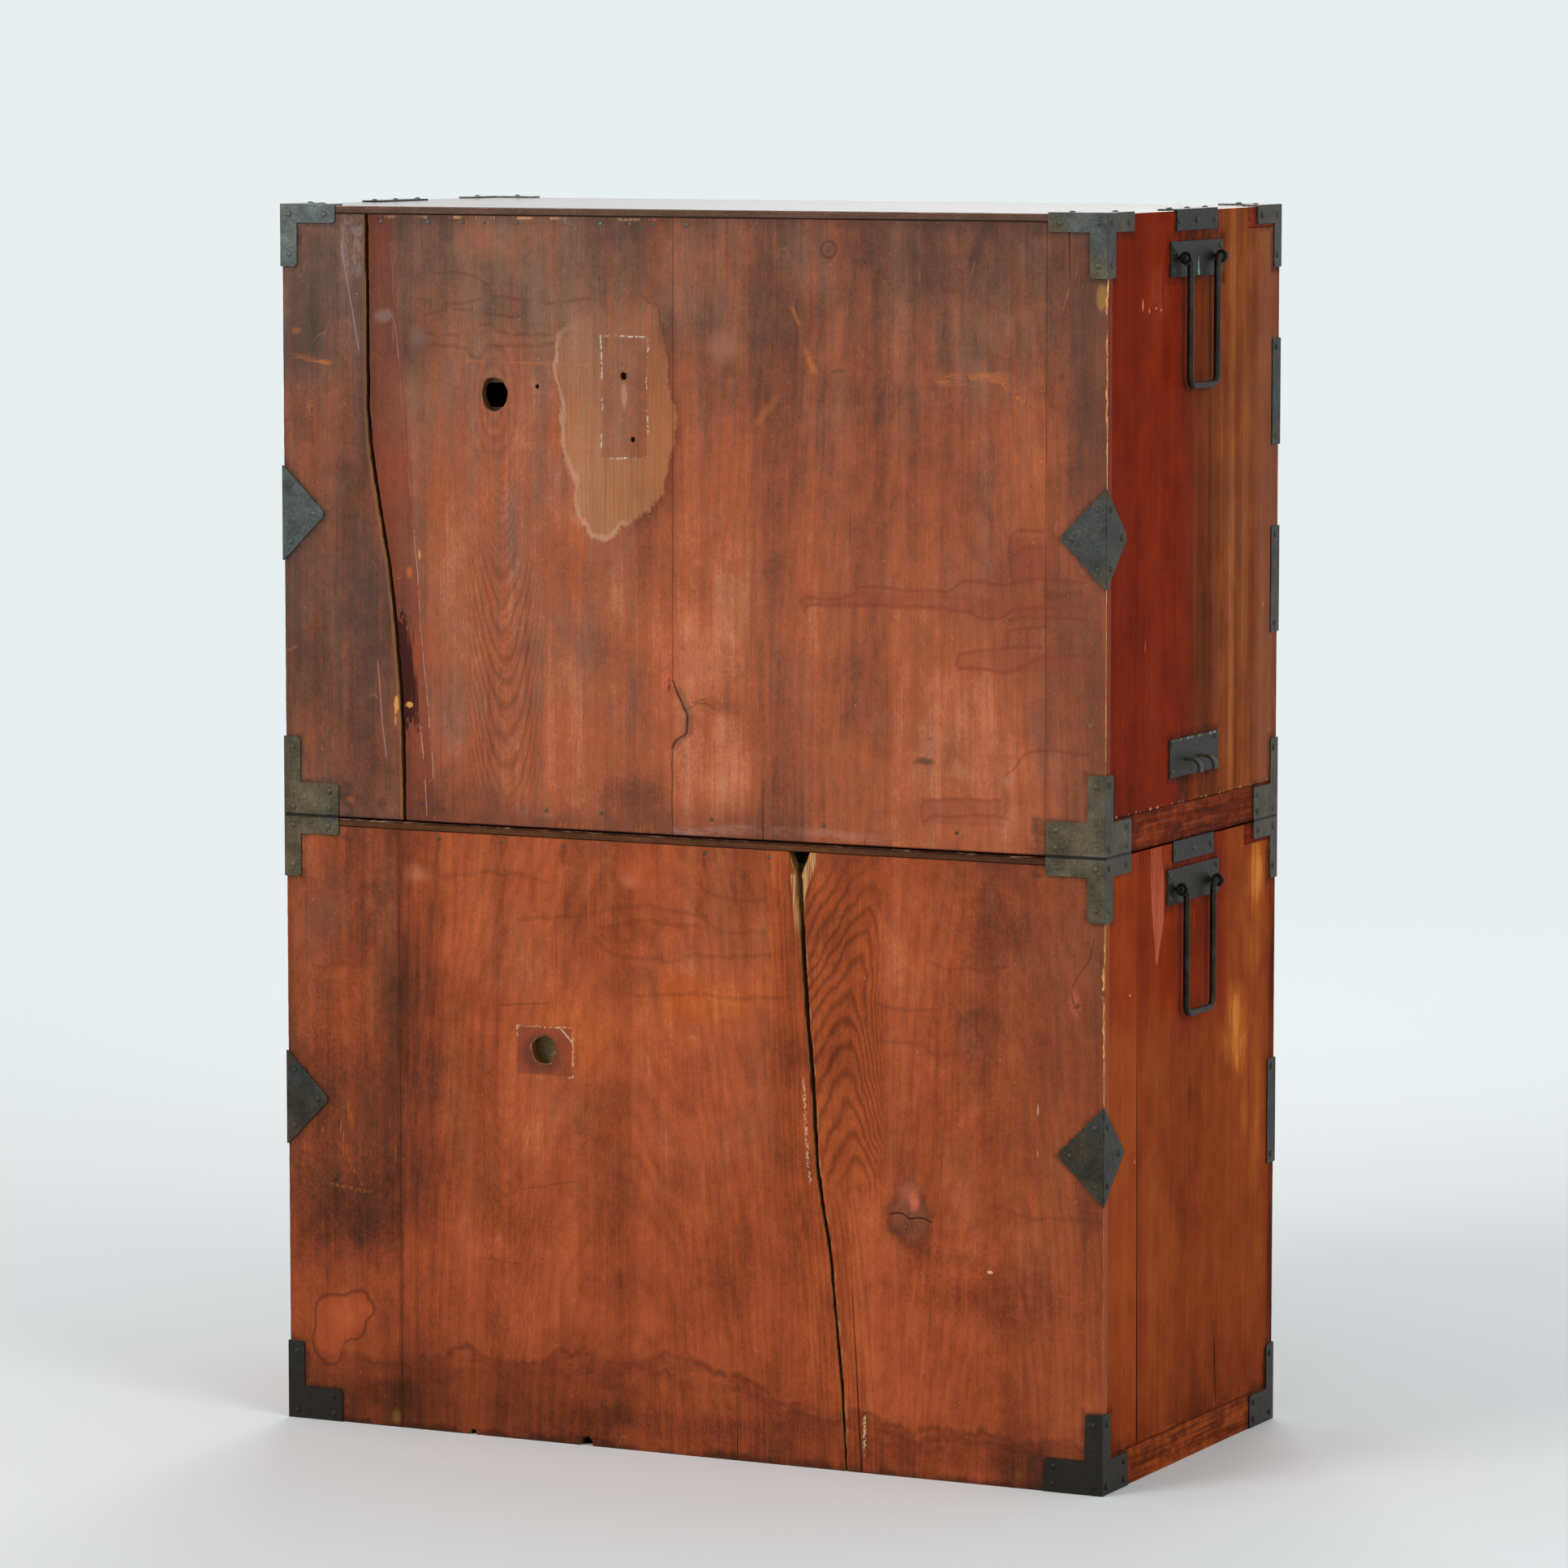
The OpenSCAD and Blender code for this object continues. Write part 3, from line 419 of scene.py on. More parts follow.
def strokes(s, lines, half, soft, wobble):
    """Mask of several drawn lines, each a list of (x, height) that runs along its longer side."""

    def stroke(pts):
        xs, zs = zip(*pts)
        if max(xs) - min(xs) >= max(zs) - min(zs):
            return s.line(s.Z, s.X, pts, half, soft, wobble)
        return s.line(s.X, s.Z, [(z, x) for x, z in pts], half, soft, wobble)

    return reduce(Value.most, (stroke(pts) for pts in lines))


def halos(s, across, places, wide=7.0):
    """Rusty dirt on wood round irons: boxes (low corner, high corner), or diamonds (x, z, reach, half)."""

    def halo(p):
        if len(p) == 2:
            d = s.rule(across, s.Z, p[0], p[1])
        else:
            x, z, reach, half = p
            d = (abs(across - x) * (1 / reach) + abs(s.Z - z) * (1 / half) - 1.0) * 30
        return s.rise(d + s.wob * 12, wide, 0)

    dirt = reduce(Value.most, (halo(p) for p in places))
    return dirt * s.patches(0.30, 0.62, (12, 12, 12), (3, 3, 1), 3, 0.6)


REDS_UPPER = [(0.0, 58, 36, 26), (0.28, 96, 54, 37), (0.5, 136, 71, 44), (0.72, 167, 86, 52),
    (1.0, 202, 122, 84)]
GREYS_UPPER = [(0.0, 48, 40, 35), (0.4, 92, 68, 56), (0.7, 134, 96, 76), (1.0, 176, 138, 114)]
RAW = rgb(205, 160, 96)
RAW_DARK = rgb(92, 54, 30)


def upper_back_material():
    s = Wood("upper_back_wood")
    X, Z = s.X, s.Z
    crack = [(607, 309), (679, 309), (735, 312), (807, 318), (863, 325), (918, 335), (966, 343),
             (1013, 347), (1202, 348)]
    off_crack = X - s.curve(Z, crack, True)  # above 0 on the left board
    left = s.rise(off_crack, -2, 2)
    edge_board = s.rise(X, -380, -382)

    tone = s.curve(Z, [(607, 0.60), (700, 0.64), (820, 0.61), (960, 0.575), (1060, 0.52),
        (1140, 0.46), (1202, 0.40)])
    tone = tone + s.rise(X, -30, 60) * s.rise(Z, 640, 1050) * 0.07
    tone = tone - left * s.curve(Z, [(607, 0.06), (690, 0.11), (760, 0.17), (900, 0.14),
        (1060, 0.08), (1202, -0.03)])
    tone = tone - edge_board * s.curve(Z, [(607, 0.06), (900, 0.03), (1202, 0.02)])
    tone = tone + grain_tone(s, 1, s.curve(Z, [(607, 1.0), (1000, 0.9), (1202, 0.45)]), 1.0)
    bands = s.curve(X, [(-440, 0.0), (-400, -0.03), (-330, 0.03), (-285, 0.0), (-245, 0.05), (-215, -0.02),
        (-190, -0.07), (-160, 0.04), (-120, -0.05), (-100, -0.09), (-75, 0.03), (-45, 0.12), (-25, 0.02),
        (-5, 0.13), (20, -0.06), (60, 0.0), (110, 0.04), (180, 0.03), (250, 0.02),
        (290, -0.05), (310, -0.10)])
    tone = tone + bands * s.curve(Z, [(607, 0.9), (900, 1.1), (1060, 1.0), (1202, 0.5)])
    tone = s.clouds(tone, 0.5, ((-300, 700, 130, 120, 0.10), (-40, 790, 46, 60, 0.09),
        (-52, 660, 40, 40, 0.10), (130, 730, 60, 120, 0.05), (-40, 735, 34, 14, -0.20),
        (72, 648, 70, 34, -0.15), (262, 640, 60, 36, -0.12), (90, 790, 50, 40, -0.12),
        (200, 1050, 46, 60, 0.06), (-260, 1150, 120, 40, -0.05), (-95, 640, 26, 60, -0.12),
        (30, 860, 50, 60, -0.08), (220, 1180, 90, 30, 0.12), (-420, 1000, 24, 150, -0.12),
        (-430, 760, 18, 90, -0.08)))
    axis = s.curve(Z, [(607, 192), (900, 199)])
    ring = nested(s, axis, 8, 8, 40, 27, 1, -1) * s.near(X, 197, 22, 34) * s.between(Z, 670, 840, 70)
    ring = ring.most(nested(s, axis, 8, 8, 40, 11, 2, -1) * s.near(X, 197, 22, 40)
        * s.between(Z, 640, 930, 60) * 0.42)
    eye = (((X - 206) * (X - 206)) + (Z - 1024) * (Z - 1024) * 0.20) ** 0.5 + s.wob * 10
    ring = ring.most((s.sine(eye * 0.85) * 0.5 + 0.5) * s.rise(eye, 44, 16) * 0.55)
    ripple = nested(s, s.curve(Z, [(607, -40), (850, -48)]), 2.2, 1.6, 26, 5.2, 4)
    ring = (ring.most(ripple * s.spot(-52, 766, 40, 60, soft=0.9) * 0.34)
        .most(ripple * s.spot(-60, 705, 50, 40, soft=0.8) * 0.35))
    ring = ring.most(s.figure(-260, 0.10, 9.0, 5) * s.rise(X, 0, -60) * 0.30)
    tone = tone - ring * 0.04
    grey = (s.noise(s.Q, (70, 70, 150), (5, 3, 1), 4, 0.65) - 0.5) * 1.5
    grey = grey + s.curve(Z, [(607, 0.10), (700, 0.10), (850, 0.08), (1000, 0.20), (1100, 0.42),
        (1202, 0.50)]) + left * 0.34
    grey = grey + s.lengthwise(9, 300, 6, 3) * 0.8 + s.between(X, 60, 300, 30) * s.rise(Z, 640, 800) * 0.24
    grey = s.rise(grey, 0.0, 1.0)
    s.colour = s.mix(grey, s.ramp(tone, REDS_UPPER), s.ramp(tone, GREYS_UPPER))
    pores = s.rise(s.noise(s.Q, (0.7, 0.7, 15), (4, 6, 1), 2, 0.6), 0.60, 0.72)
    s.darken(pores, 0.20)
    s.darken(ring, 0.26)

    # Wavy dark ripples across the top left
    ripples = strokes(s, [[(211, 1135), (249, 1147), (286, 1140)],
        [(99, 1123), (145, 1119), (202, 1125), (249, 1116), (291, 1120)],
        [(164, 1109), (192, 1106), (244, 1110), (282, 1105)], [(145, 1087), (202, 1090), (211, 1097),
        (244, 1085), (282, 1086)], [(141, 1078), (211, 1076), (225, 1064), (239, 1073), (277, 1075)]], 0.6,
        2.4, 10) * s.patches(0.36, 0.52, (18, 18, 10), (2, 6, 6), 2)
    s.paint(ripples * 0.36, 88, 46, 34)

    # Tan patch with a ragged pale rim, and the ghost of a label in it
    inside = s.outline((76, 1000), [(139, 1066), (141, 1050), (135, 1033), (133, 1000), (131, 984),
        (127, 967), (118, 947), (119, 926), (116, 914), (104, 902), (97, 893), (86, 892), (74, 897),
        (66, 905), (48, 914), (35, 921), (23, 933), (18, 950), (14, 970), (9, 991), (11, 1028), (16, 1068),
        (23, 1101), (34, 1121), (46, 1127), (57, 1113), (71, 1121), (80, 1110), (94, 1122), (101, 1112),
        (117, 1103), (131, 1095)])
    inside = inside + (s.grit - 0.5) * 5 + (s.noise(s.P, (9, 9, 13), (4, 4, 9), 3, 0.7) - 0.5) * 16
    label = s.rule(X, Z, (89, 971), (39, 1087))
    patch = s.rise(inside, -1.5, 3) * s.curve(Z, [(885, 0.95), (980, 0.8), (1050, 0.55),
        (1095, 0.30), (1130, 0.10)])
    patch = patch * (0.72 + s.noise(s.Q, (18, 18, 40), (3, 3, 8), 4, 0.65) * 0.55)
    patch = patch * (1.0 - s.rise(label, 2, -3) * 0.75) * (1.0 - s.near(X, 62, 14, 14)
        * s.rise(Z, 1080, 1100) * 0.5)
    streak = s.lengthwise(2.2, 150, 11, 3) + 0.5
    tan = s.mix(s.rise(streak, 0.30, 0.72), rgb(182, 128, 90), rgb(154, 100, 62))
    tan = s.mix(s.rise(X, 60, 20) * 0.5, tan, rgb(168, 106, 56))
    s.paint(patch * 0.62, tan)
    rim = (s.rise(abs(inside - 2.5), 5, 0.8) * s.rise(X + s.wob * 40, 66, 92)
        .most(s.rise(Z, 960, 930) * s.rise(X, 50, 74)))
    s.paint(rim * s.rise(Z, 1110, 1070) * 0.42, 198, 152, 124)
    shadow = s.rise(inside, -14, -3) * s.rise(inside, 0.5, -2) * s.rise(X, 66, 30) * s.rise(Z, 1125, 1000)
    s.darken(shadow.most(s.rise(inside, -34, -8) * s.rise(inside, 0, -4) * s.rise(X, 60, 10) * 0.5), 0.30)
    dark_rim = s.rise(abs(inside), 3.2, 0.4) * s.rise(X, 62, 30)
    s.darken(dark_rim, 0.25)
    chipped = s.rise(s.grit, 0.47, 0.56) * s.patches(0.42, 0.56, (17, 17, 17), (1, 5, 2), 1)
    chips = s.rise(abs(label + s.wob * 9), 1.3, 0.4) * chipped
    s.paint(chips * 0.8, 212, 202, 184)
    strip = s.spot(64, 1030, 4, 16, soft=0.6, ragged=0.5)
    s.paint(strip * 0.55, 196, 138, 112)

    # Long pale lines along the grain
    main = [(607, 274), (626, 275), (721, 281), (777, 287), (873, 294), (936, 300), (999, 307),
        (1094, 315), (1199, 323)]
    fade = s.curve(Z, [(607, 1.0), (700, 0.75), (760, 0.9), (900, 0.85), (960, 0.35), (1202, 0.28)])
    gaps = s.rise(s.noise1(Z, 47, 3.1, 3) + (s.grit - 0.5) * 0.35, 0.40, 0.54)
    pale = s.line(X, Z, main, 0.0, 0.75, 6) * gaps * fade
    gaps = s.rise(s.noise1(Z, 31, 1.2, 3) + (s.grit - 0.5) * 0.35, 0.40, 0.54)
    pale = pale.most(s.line(X, Z, [(612, 283), (650, 286), (700, 289)], 0.1, 0.8, 6) * gaps)
    s.paint(pale * 0.72, 220, 192, 164)
    faint = strokes(s, [[(358, 1070), (376, 1173)], [(329, 671), (334, 720), (338, 763)],
        [(313, 1063), (316, 1096), (324, 1108)]], 0.2, 1.0, 4)
    s.paint(faint * 0.4, 176, 148, 140)

    # Dark red bleed beside the open crack, and raw wood along its lip
    strip = s.rise(off_crack, 1, -2) * s.rise(X - s.curve(Z, [(607, 274), (873, 294), (1199, 323)])
        + s.wob * 4, -3, 1)
    s.paint(strip * 0.40, 104, 38, 28)
    bleed = s.rise(off_crack + s.lengthwise(3, 40, 9, 2) * 26, -20, -13) * s.rise(off_crack, 1, -1)
    bleed = bleed * s.between(Z + s.lengthwise(2.5, 9, 10) * 90, 706, 802, 12)
    s.paint(bleed * 0.95, 50, 6, 2)
    s.darken(s.rise(off_crack, -26, -3) * s.rise(off_crack, 1, -1) * s.rise(s.wob, -0.2, 0.1), 0.20)
    lip = s.near(off_crack, 3.4, 0.7, 1.2) * s.curve(Z, [(607, 0.8), (900, 0.7), (1100, 0.3), (1202, 0.2)])
    s.paint(lip * 0.6, 146, 96, 58)
    chips = s.spots((317, 722, 2.4, 9, 0.4, 1.4, 1), (302, 722, 4, 3, 0.4, 1.4, 1))
    chips = chips.spots((290, 870, 1.6, 5, 0.5, 0.9, 0.8), (318, 706, 1.4, 5, 0.5, 0.9, 0.6))
    s.paint(chips * 0.9, 208, 148, 74)
    s.paint(s.spot(302, 852, 5, 8, soft=0.8, ragged=0.6) * 0.7, 184, 98, 40)

    # Tide lines on the right, drawn round rubbed loops
    tide = strokes(s, [[(-417, 866), (-380, 869), (-366, 868), (-337, 863), (-299, 864), (-290, 861),
        (-271, 853), (-194, 855), (-187, 854), (-180, 847), (-150, 843), (-133, 845), (-125, 840)],
        [(-128, 829), (-125, 841)], [(-420, 843), (-375, 842), (-347, 838), (-337, 833), (-312, 830),
        (-307, 834), (-290, 836), (-271, 838), (-194, 837), (-141, 838), (-128, 831)],
        [(-419, 856), (-380, 853)], [(-422, 833), (-408, 831), (-375, 832), (-341, 828)],
        [(-380, 823), (-359, 820), (-340, 816)], [(-378, 803), (-357, 802), (-314, 798), (-292, 795)],
        [(-293, 780), (-290, 788), (-292, 795)], [(-427, 797), (-404, 795), (-378, 793), (-361, 785),
        (-333, 779), (-314, 780), (-293, 780)], [(-347, 864), (-344, 893), (-346, 906)],
        [(-377, 913), (-351, 911), (-346, 906)], [(-377, 898), (-354, 894), (-349, 888)],
        [(-338, 659), (-290, 657), (-259, 654)], [(-255, 631), (-253, 646), (-258, 654)],
        [(-338, 642), (-314, 644), (-291, 640), (-271, 640), (-257, 633)],
        [(-340, 640), (-338, 676), (-350, 688), (-357, 699)], [(-425, 704), (-399, 707), (-385, 709),
        (-366, 706), (-357, 699)]], 0.3, 3.0, 12)
    s.paint(tide * 0.40, 112, 46, 30)
    film = s.between(Z + s.wob * 5, 836, 848, 4) * s.between(X, -420, -128, 6)
    film = (film.most(s.between(Z + s.wob * 5, 781, 796, 3) * s.between(X, -440, -292, 5))
        .most(s.between(Z + s.wob * 5, 634, 655, 3) * s.between(X, -338, -256, 5)))
    film = film.most(s.between(Z, 868, 905, 4) * s.between(X, -384, -347, 4))
    s.paint(film * 0.36, 134, 60, 42)

    # Scuffs, rubbed spots and knots
    smear = s.patches(0.40, 0.60, (24, 9, 3.4), (6, 2, 9), 4, 0.75)
    orange = s.scratch((-277, 1054), (-334, 1055), 1.6, 7, 2.2) * smear
    orange = orange.most(s.scratch((-330, 1056), (-357, 1034), 0.6, 5, 3.0) * s.rise(s.grit, 0.48, 0.60))
    orange = orange.most(s.scratch((-127, 1087), (-139, 1060), 0.6, 4.6, 1.8) * s.rise(Z, 1094, 1066)
        * s.rise(s.grit, 0.36, 0.5))
    orange = (orange.most(s.scratch((-117, 1117), (-123, 1104), 0.4, 2.6, 2.0) * 0.7)
        .most(s.scratch((-99, 1031), (-80, 1010), 0.8, 5, 2.6) * 0.4))
    orange = (orange.most(s.scratch((428, 1062), (392, 1056), 0.3, 3.4, 3.0) * smear)
        .most(s.scratch((235, 1061), (92, 1059), 0.2, 1.8, 2.4) * smear * 0.6))
    orange = (orange.spots((427, 1087, 7, 4, 0.9, 1.2, 0.5)).most(s.spot(411, 1012, 7, 17, soft=0.7,
        ragged=1.6) * s.rise(s.grit, 0.52, 0.6) * 0.7))
    s.paint(orange * 0.60, 194, 110, 54)
    knot = ((X + 155) * (X + 155) + (Z - 1174) * (Z - 1174)) ** 0.5 + s.wob * 5
    dark = s.rise(abs(knot - 8), 2.2, 0.6) * 0.8 + s.rise(knot, 7, 2) * 0.45
    dark = (dark.spots((-255, 691, 11, 4.5, 0.8, 0.8, 1)).most(s.scratch((-317, 1196), (-306, 1166),
        2.2, 6, 1.2) * 0.6))
    dark = dark.spots((-165, 1059, 13, 3, 0.9, 0.6, 0.6), (-49, 1062, 11, 18, 0.9, 0.7, 0.5))
    dark = dark.spots((-262, 713, 4, 2.5, 0.8, 0.25, 0.6), (-23, 675, 2.5, 2.5, 1.0, 0.25, 0.7),
        (-60, 774, 2, 7, 1.0, 0.25, 0.5))
    dark = dark.spots((-188, 1165, 22, 14, 1.0, 0.8, 0.4), (20, 1085, 10, 36, 1.0, 0.8, 0.35))
    s.paint(dark * 0.62, 50, 38, 34)
    s.paint(s.spot(-42, 1078, 24, 22, soft=1.0, ragged=0.6) * 0.28, 176, 118, 100)
    flake = s.spot(19, 756, 8, 14, soft=0.6, ragged=1.2) * s.rise(s.grit, 0.36, 0.48)
    s.paint(flake * 0.75, 204, 92, 62)
    flake = s.spot(16, 752, 2.8, 12, soft=0.6, ragged=1.4) * s.rise(s.grit, 0.42, 0.52)
    s.paint(flake * 0.85, 40, 22, 18)
    seam = off_knot(s)
    seam = seam + s.wob * 9 + (s.grit - 0.5) * 3
    s.paint(s.near(seam, 0, 0.3, 1.5) * s.between(Z, 694, 756, 4) * 0.9, 36, 22, 18)
    s.paint(s.near(seam, -2, 3, 5) * s.between(Z, 700, 745, 12) * 0.35, 70, 40, 32)
    s.paint(s.near(seam, 0, 0.2, 1.0) * s.rise(Z, 702, 692) * 0.6, 52, 26, 20)
    branch = strokes(s, [[(-34, 733), (-20, 737), (-8, 733), (-3, 731)],
        [(-22, 741), (-10, 737)]], 0.1, 1.2, 12)
    s.paint(branch * 0.45, 60, 34, 28)

    # Chalky and bluish smears, haze along the foot, dirt along the top
    chalk = s.between(X, 354, 374, 4) * s.curve(Z, [(1080, 0.1), (1130, 0.25), (1160, 0.9),
        (1195, 1.0)]) * s.rise(Z, 1060, 1120)
    chalk = chalk * s.patches(0.42, 0.60, (5, 5, 9), (8, 8, 2), 4, 0.7)
    chalk = chalk.spots((330, 1103, 13, 8, 0.8, 0.9, 0.8), (318, 1086, 3, 18, 0.9, 0.25, 0.45))
    chalk = chalk.most(s.spot(176, 624, 16, 8, soft=0.7, ragged=1.2) * s.streaks(0.44, 0.58, 2, 12, 15))
    s.paint(chalk * 0.42, 148, 128, 128)
    foot = s.rise(abs(Z - s.curve(X, [(-240, 612), (-87, 618), (2, 612), (12, 612)]) + s.wob * 7), 7, 1)
    foot = foot * s.curve(X, [(-240, 0.0), (-150, 0.5), (-90, 0.5), (-60, 0.75), (8, 1.0),
        (13, 0.0)]) * s.patches(0.36, 0.56, (16, 8, 6), (7, 1, 3), 4, 0.65)
    foot = foot.spots((-340, 676, 12, 8, 0.9, 1.0, 0.35), (148, 620, 16, 5, 0.8, 1.2, 0.4))
    s.paint(foot * 0.34, 196, 158, 142)
    s.paint(s.spot(290, 1083, 14, 12, soft=1.0, ragged=0.8) * 0.3, 116, 104, 102)
    burnt = s.rise(Z + s.wob * 10, 620, 610) * s.streaks(0.46, 0.62, 2.2, 20, 13, 2)
    burnt = burnt * (s.between(X, 92, 140, 10) + s.between(X, 34, 50, 6))
    s.paint(burnt * 0.8, 196, 108, 40)
    grime = s.spots((335, 622, 9, 14, 0.8, 0.9, 1), (271, 620, 24, 9, 0.9, 0.9, 1),
        (60, 640, 60, 24, 1.0, 0.9, 0.6))
    grime = grime.most(s.rise(Z + s.wob * 8, 618, 607) * s.rise(X, 15, 25) * 0.7)
    grime = grime.most(s.rise(Z + s.wob * 80, 655, 604) * s.between(X, -120, 300, 20) * 0.8)
    s.paint(grime * 0.62, 66, 42, 34)
    s.paint(s.spot(370, 625, 7, 6, soft=0.8, ragged=0.7) * 0.7, 188, 96, 36)
    band = s.rise(Z + s.wob * 14, 1188, 1203)
    s.darken(band, 0.22)
    top_chips = s.near(Z, 1200, 0.8, 1.0) * s.between(X, 40, 340, 30) * s.rise(s.noise1(X, 37, 3.0, 4)
        + (s.grit - 0.5) * 0.4, 0.52, 0.64)
    s.paint(top_chips * 0.6, 204, 152, 112)
    blots = s.between(Z + s.wob * 12, 1180, 1197, 6) * s.rise(s.noise1(X, 30, 5.0, 3), 0.56, 0.66)
    s.paint(blots * 0.22, 48, 34, 30)
    s.paint(s.spot(-437, 1131, 7, 15, soft=0.6, ragged=0.9) * 0.75, 186, 138, 66)
    near_edge = s.rise(X + s.wob * 40, -384, -436)
    s.paint(near_edge * s.curve(Z, [(607, 0.22), (860, 0.30), (960, 0.46), (1160, 0.42),
        (1202, 0.2)]), 92, 58, 46)
    fine_marks(s, 3, 0.26, (190, 140, 112),
               (0.79, 0.85, 2.6, (2, 9, 5), 0.7, (206, 176, 148)),
               (0.78, 0.84, 3.4, (7, 2, 2), 0.6, (54, 36, 30)))

    places = [((370, 1193), (452, 1216)), ((425, 1150), (452, 1216)), ((370, 600), (452, 640.5)),
        ((425, 600), (452, 685)), (442.5, 907, 45, 47)]
    s.paint(halos(s, abs(X), places) * 0.55, 46, 36, 30)
    # Painted shadow along the foot, in the gap where the cases meet
    s.darken(s.rise(Z, 609.5, 607.6), 0.75)
    height = finish_back(s, ring, [(607, 0.75), (700, 0.85), (866, 0.9), (880, 0.35), (950, 0.45), (960, 1.0),
        (1153, 1.0), (1165, 0.2), (1202, 0.1)])
    rough = 0.48 + (s.grit - 0.5) * 0.3 + grey * 0.08
    return s.finish(rough, height, Specular_IOR_Level=0.13)


def off_knot(s):
    """Distance from the wandering seam near the middle of the upper back."""
    seam = [(607, 13), (693.5, 13), (699.5, 9), (706.5, -3), (725.5, -3), (744.5, 6), (757.5, 12), (1202, 11)]
    return s.X - s.curve(s.Z, seam, True)


def finish_back(s, ring, wear):
    """Paints raw wood where the surface is broken away, with painted shade and grime deeper in; gives the
    grain's height.
    """
    below = HALF_D - s.Y
    broken = s.rise(below, 0.7, 1.3)
    edge = s.rise(s.X, -434, -440)
    flank = s.rise(abs(s.X), 441.6, 442.2) * s.rise(below + (s.grit - 0.5) * 2.4 + s.wob * 3, 2.4, 3.2)
    line = s.rise(s.noise1(s.Z, 46, 2.2, 4) + (s.grit - 0.5) * 0.5, 0.26, 0.42)
    worn = s.rise(below + (s.grit - 0.5) * 0.7, 0.85, 1.2) * edge * s.curve(s.Z, wear) * line * (1.0 - flank)
    raw = s.mix(s.streaks(0.4, 0.62, 3, 60, 21, 2), RAW, RAW_DARK)
    # Deeper into cracks and holes the raw wood turns nearly black: painted shade, with some grime
    dirt = s.rise(below, 1.0, 3.4) * (1.0 - s.between(s.Z, 530, 599, 14) * 0.6)
    raw = s.mix(dirt, raw, rgb(34, 20, 14))
    side = s.rise(abs(s.X), 300, 420)
    raw = s.mix((1.0 - side) * 0.45, raw, rgb(120, 74, 40))
    s.paint(broken * (1.0 - edge), raw)
    yellow = s.ramp(s.noise(s.P, (4, 4, 9), (2, 2, 8), 3, 0.6),
        [(0.3, 226, 186, 116), (0.5, 198, 142, 76), (0.7, 132, 78, 40)])
    s.paint(worn, yellow)
    lacquer = 0.46 + s.lengthwise(4, 200, 22, 3) * 0.5 + s.wob * 0.3
    s.paint(flank, s.mix(s.rise(s.Z, 604, 608), s.ramp(lacquer + 0.06, ORANGES_SIDE),
        s.ramp(lacquer, REDS_SIDE)))
    height = s.lengthwise(1.2, 120, 31, 3) * 0.13 + s.lengthwise(6, 260, 32, 2) * 0.12 - ring * 0.06
    height = height + (s.grit - 0.5) * 0.07
    return height


# (height, x) of the open crack in the lower back
CRACK_L = [(0, -174), (87, -169), (209, -157), (292, -143), (387, -137), (457, -131),
    (519, -127), (575, -123)]
REDS_LOWER = [(0.0, 56, 28, 14), (0.25, 102, 46, 24), (0.5, 147, 66, 33), (0.75, 177, 86, 46),
    (1.0, 208, 124, 76)]
GREYS_LOWER = [(0.0, 46, 32, 22), (0.4, 96, 58, 38), (0.7, 148, 92, 62), (1.0, 190, 134, 96)]


